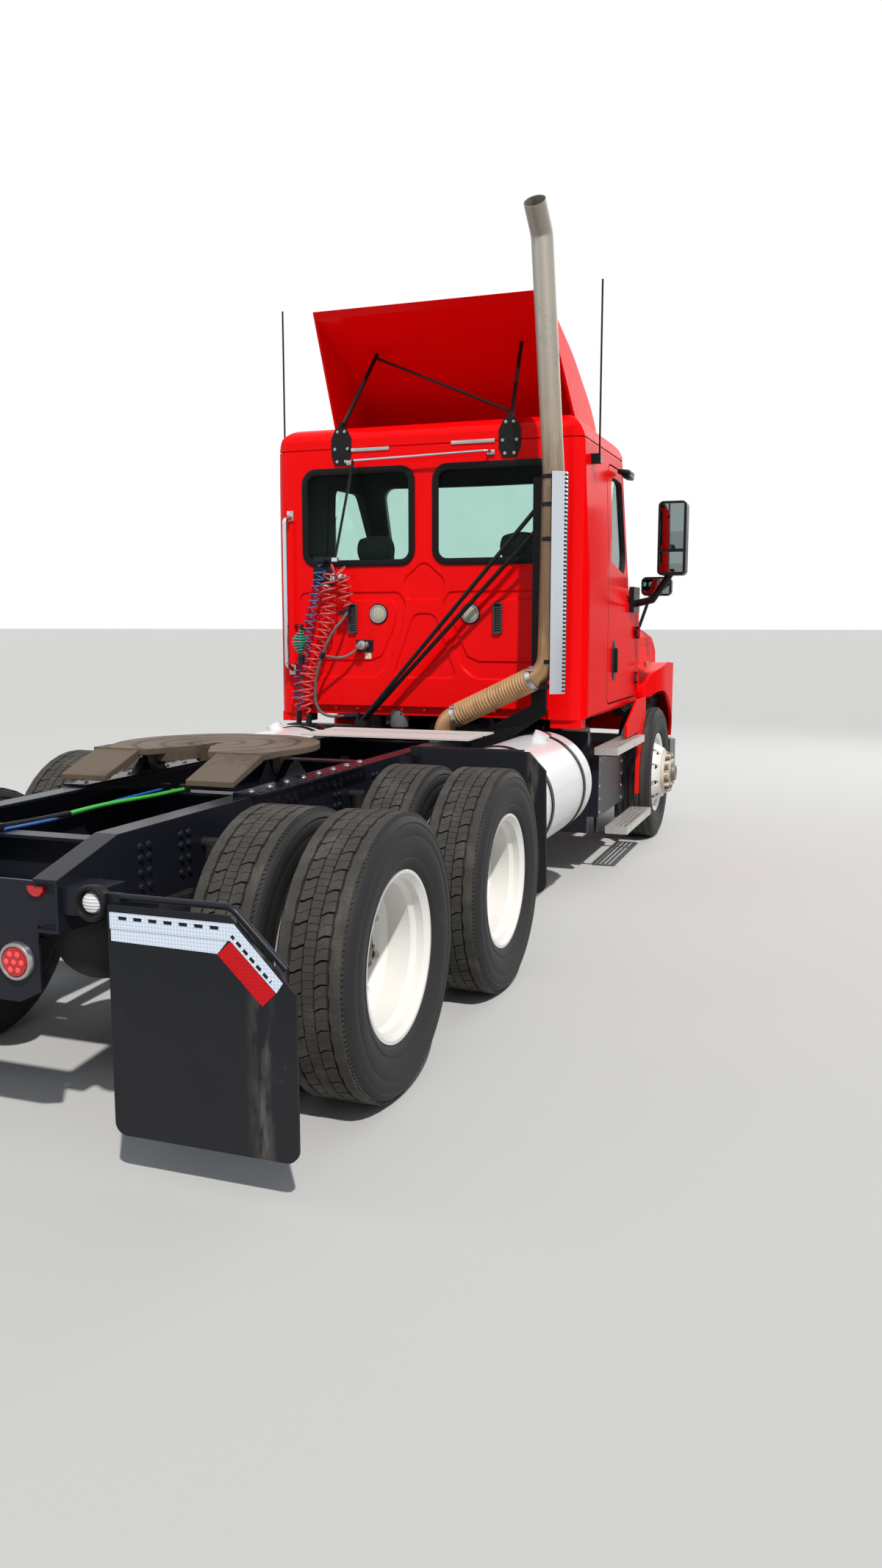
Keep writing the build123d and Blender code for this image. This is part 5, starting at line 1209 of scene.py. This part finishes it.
# Seats
# Two driver's seats with sprung cushions, waisted backs and a narrower head part, in dark woven cloth over foam.

def seat_cloth():
    """Dark woven cloth."""
    material = finish("seat_cloth", (0.035, 0.036, 0.04), 0.9, dirt=(0.07, 0.07, 0.07), cover=0.3, low=0.0, scale=14,
                      grain=0.2)
    tree = material.node_tree
    weave = add_node(tree, "ShaderNodeTexWave", {"Vector": object_place(tree), "Scale": 90, "Distortion": 3})
    relief(tree, weave.outputs["Fac"], 0.3, 0.001)
    return material


def cushion(name, size, middle, turn_about_y, waist, crown):
    """A padded block: crowned faces and sides pulled in between the corners."""
    pad = bmesh.new()
    bmesh.ops.create_cube(pad, size=2.0)
    bmesh.ops.subdivide_edges(pad, edges=pad.edges[:], cuts=7, use_grid_fill=True)
    for vert in pad.verts:
        x, y, z = vert.co
        pull = (1 - y * y) * (1 - z * z)
        vert.co.x = x * (0.8 + crown * pull)
        vert.co.y = y * (1 - waist(z)) * sqrt(1 - 0.34 * z * z)
        vert.co.z = z * sqrt(1 - 0.34 * y * y)
    place = (Matrix.Translation(middle) @ Matrix.Rotation(radians(turn_about_y), 4, "Y")
             @ Matrix.Diagonal((size[0] / 2, size[1] / 2, size[2] / 2, 1)))
    bmesh.ops.transform(pad, matrix=place, verts=pad.verts[:])
    piece = show(name, pad, cloth, "chassis")
    smoothing = piece.modifiers.new("soft", "SUBSURF")
    smoothing.levels = 2
    smoothing.render_levels = 2
    return piece


cloth = seat_cloth()
for side_name, y in (("left", 0.52), ("right", -0.52)):
    piece = cushion("seat_cushion_" + side_name, (0.12, 0.49, 0.49), (1.27, y, 1.53), 90, lambda z: 0.0, 0.2)
    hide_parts("seats")
    cushion("seat_back_" + side_name, (0.13, 0.46, 0.52), (1.03, y, 1.86), -8, lambda z: 0.08 + 0.12 * max(z, 0.0),
            0.2)
    cushion("seat_head_" + side_name, (0.11, 0.27, 0.19), (0.975, y, 2.215), -8, lambda z: 0.06, 0.2)


# Floor and light
# A plain pale floor under soft studio light, with a sun-like lamp high on the right behind the camera.

floor_tools = bmesh.new()
bmesh.ops.create_grid(floor_tools, x_segments=2, y_segments=2, size=400)
floor_mesh = bpy.data.meshes.new("studio_floor")
floor_tools.to_mesh(floor_mesh)
floor_tools.free()
floor_piece = bpy.data.objects.new("studio_floor", floor_mesh)
bpy.context.scene.collection.objects.link(floor_piece)
floor_material, floor_tree, floor_shader = blank_material("pale_floor")
feed(floor_tree, floor_shader, {"Base Color": (0.52, 0.52, 0.51, 1), "Roughness": 0.8})
floor_mesh.materials.append(floor_material)


def lamp(name, kind, place, aim, energy, size, colour=(1, 1, 1)):
    """One studio lamp turned towards the truck."""
    data = bpy.data.lights.new(name, kind)
    data.energy = energy
    data.color = colour
    if kind == "AREA":
        data.shape = "DISK"
        data.size = size
    else:
        data.angle = size
    light = bpy.data.objects.new(name, data)
    light.location = place
    light.rotation_mode = "QUATERNION"
    light.rotation_quaternion = (Vector(aim) - Vector(place)).to_track_quat("-Z", "Y")
    bpy.context.scene.collection.objects.link(light)


lamp("sun", "SUN", (-7, -4.6, 11), (0, 0, 1), 3.5, radians(1.5), (1, 0.97, 0.93))
lamp("left_fill", "AREA", (-6, 9, 7), (0, 0, 1.2), 110, 6)
lamp("front_fill", "AREA", (10, -4, 6), (1, 0, 1.2), 200, 6)

world = bpy.data.worlds.new("studio")
bpy.context.scene.world = world
world.use_nodes = True
world_tree = world.node_tree
backdrop = world_tree.nodes["Background"]
feed(world_tree, backdrop, {"Color": (0.75, 0.82, 0.92, 1), "Strength": 0.42})
white = add_node(world_tree, "ShaderNodeBackground", {"Color": (1, 1, 1, 1), "Strength": 1.0})
ray = add_node(world_tree, "ShaderNodeLightPath").outputs
seen = reckon(world_tree, "MAXIMUM", ray["Is Camera Ray"], ray["Is Glossy Ray"])
seen = reckon(world_tree, "MAXIMUM", seen, ray["Is Transmission Ray"])
choose = add_node(world_tree, "ShaderNodeMixShader", {"Fac": seen, 1: backdrop.outputs["Background"],
                                                      2: white.outputs["Background"]})
feed(world_tree, world_tree.nodes["World Output"], {"Surface": choose.outputs["Shader"]})
bpy.context.scene.view_settings.view_transform = "Standard"
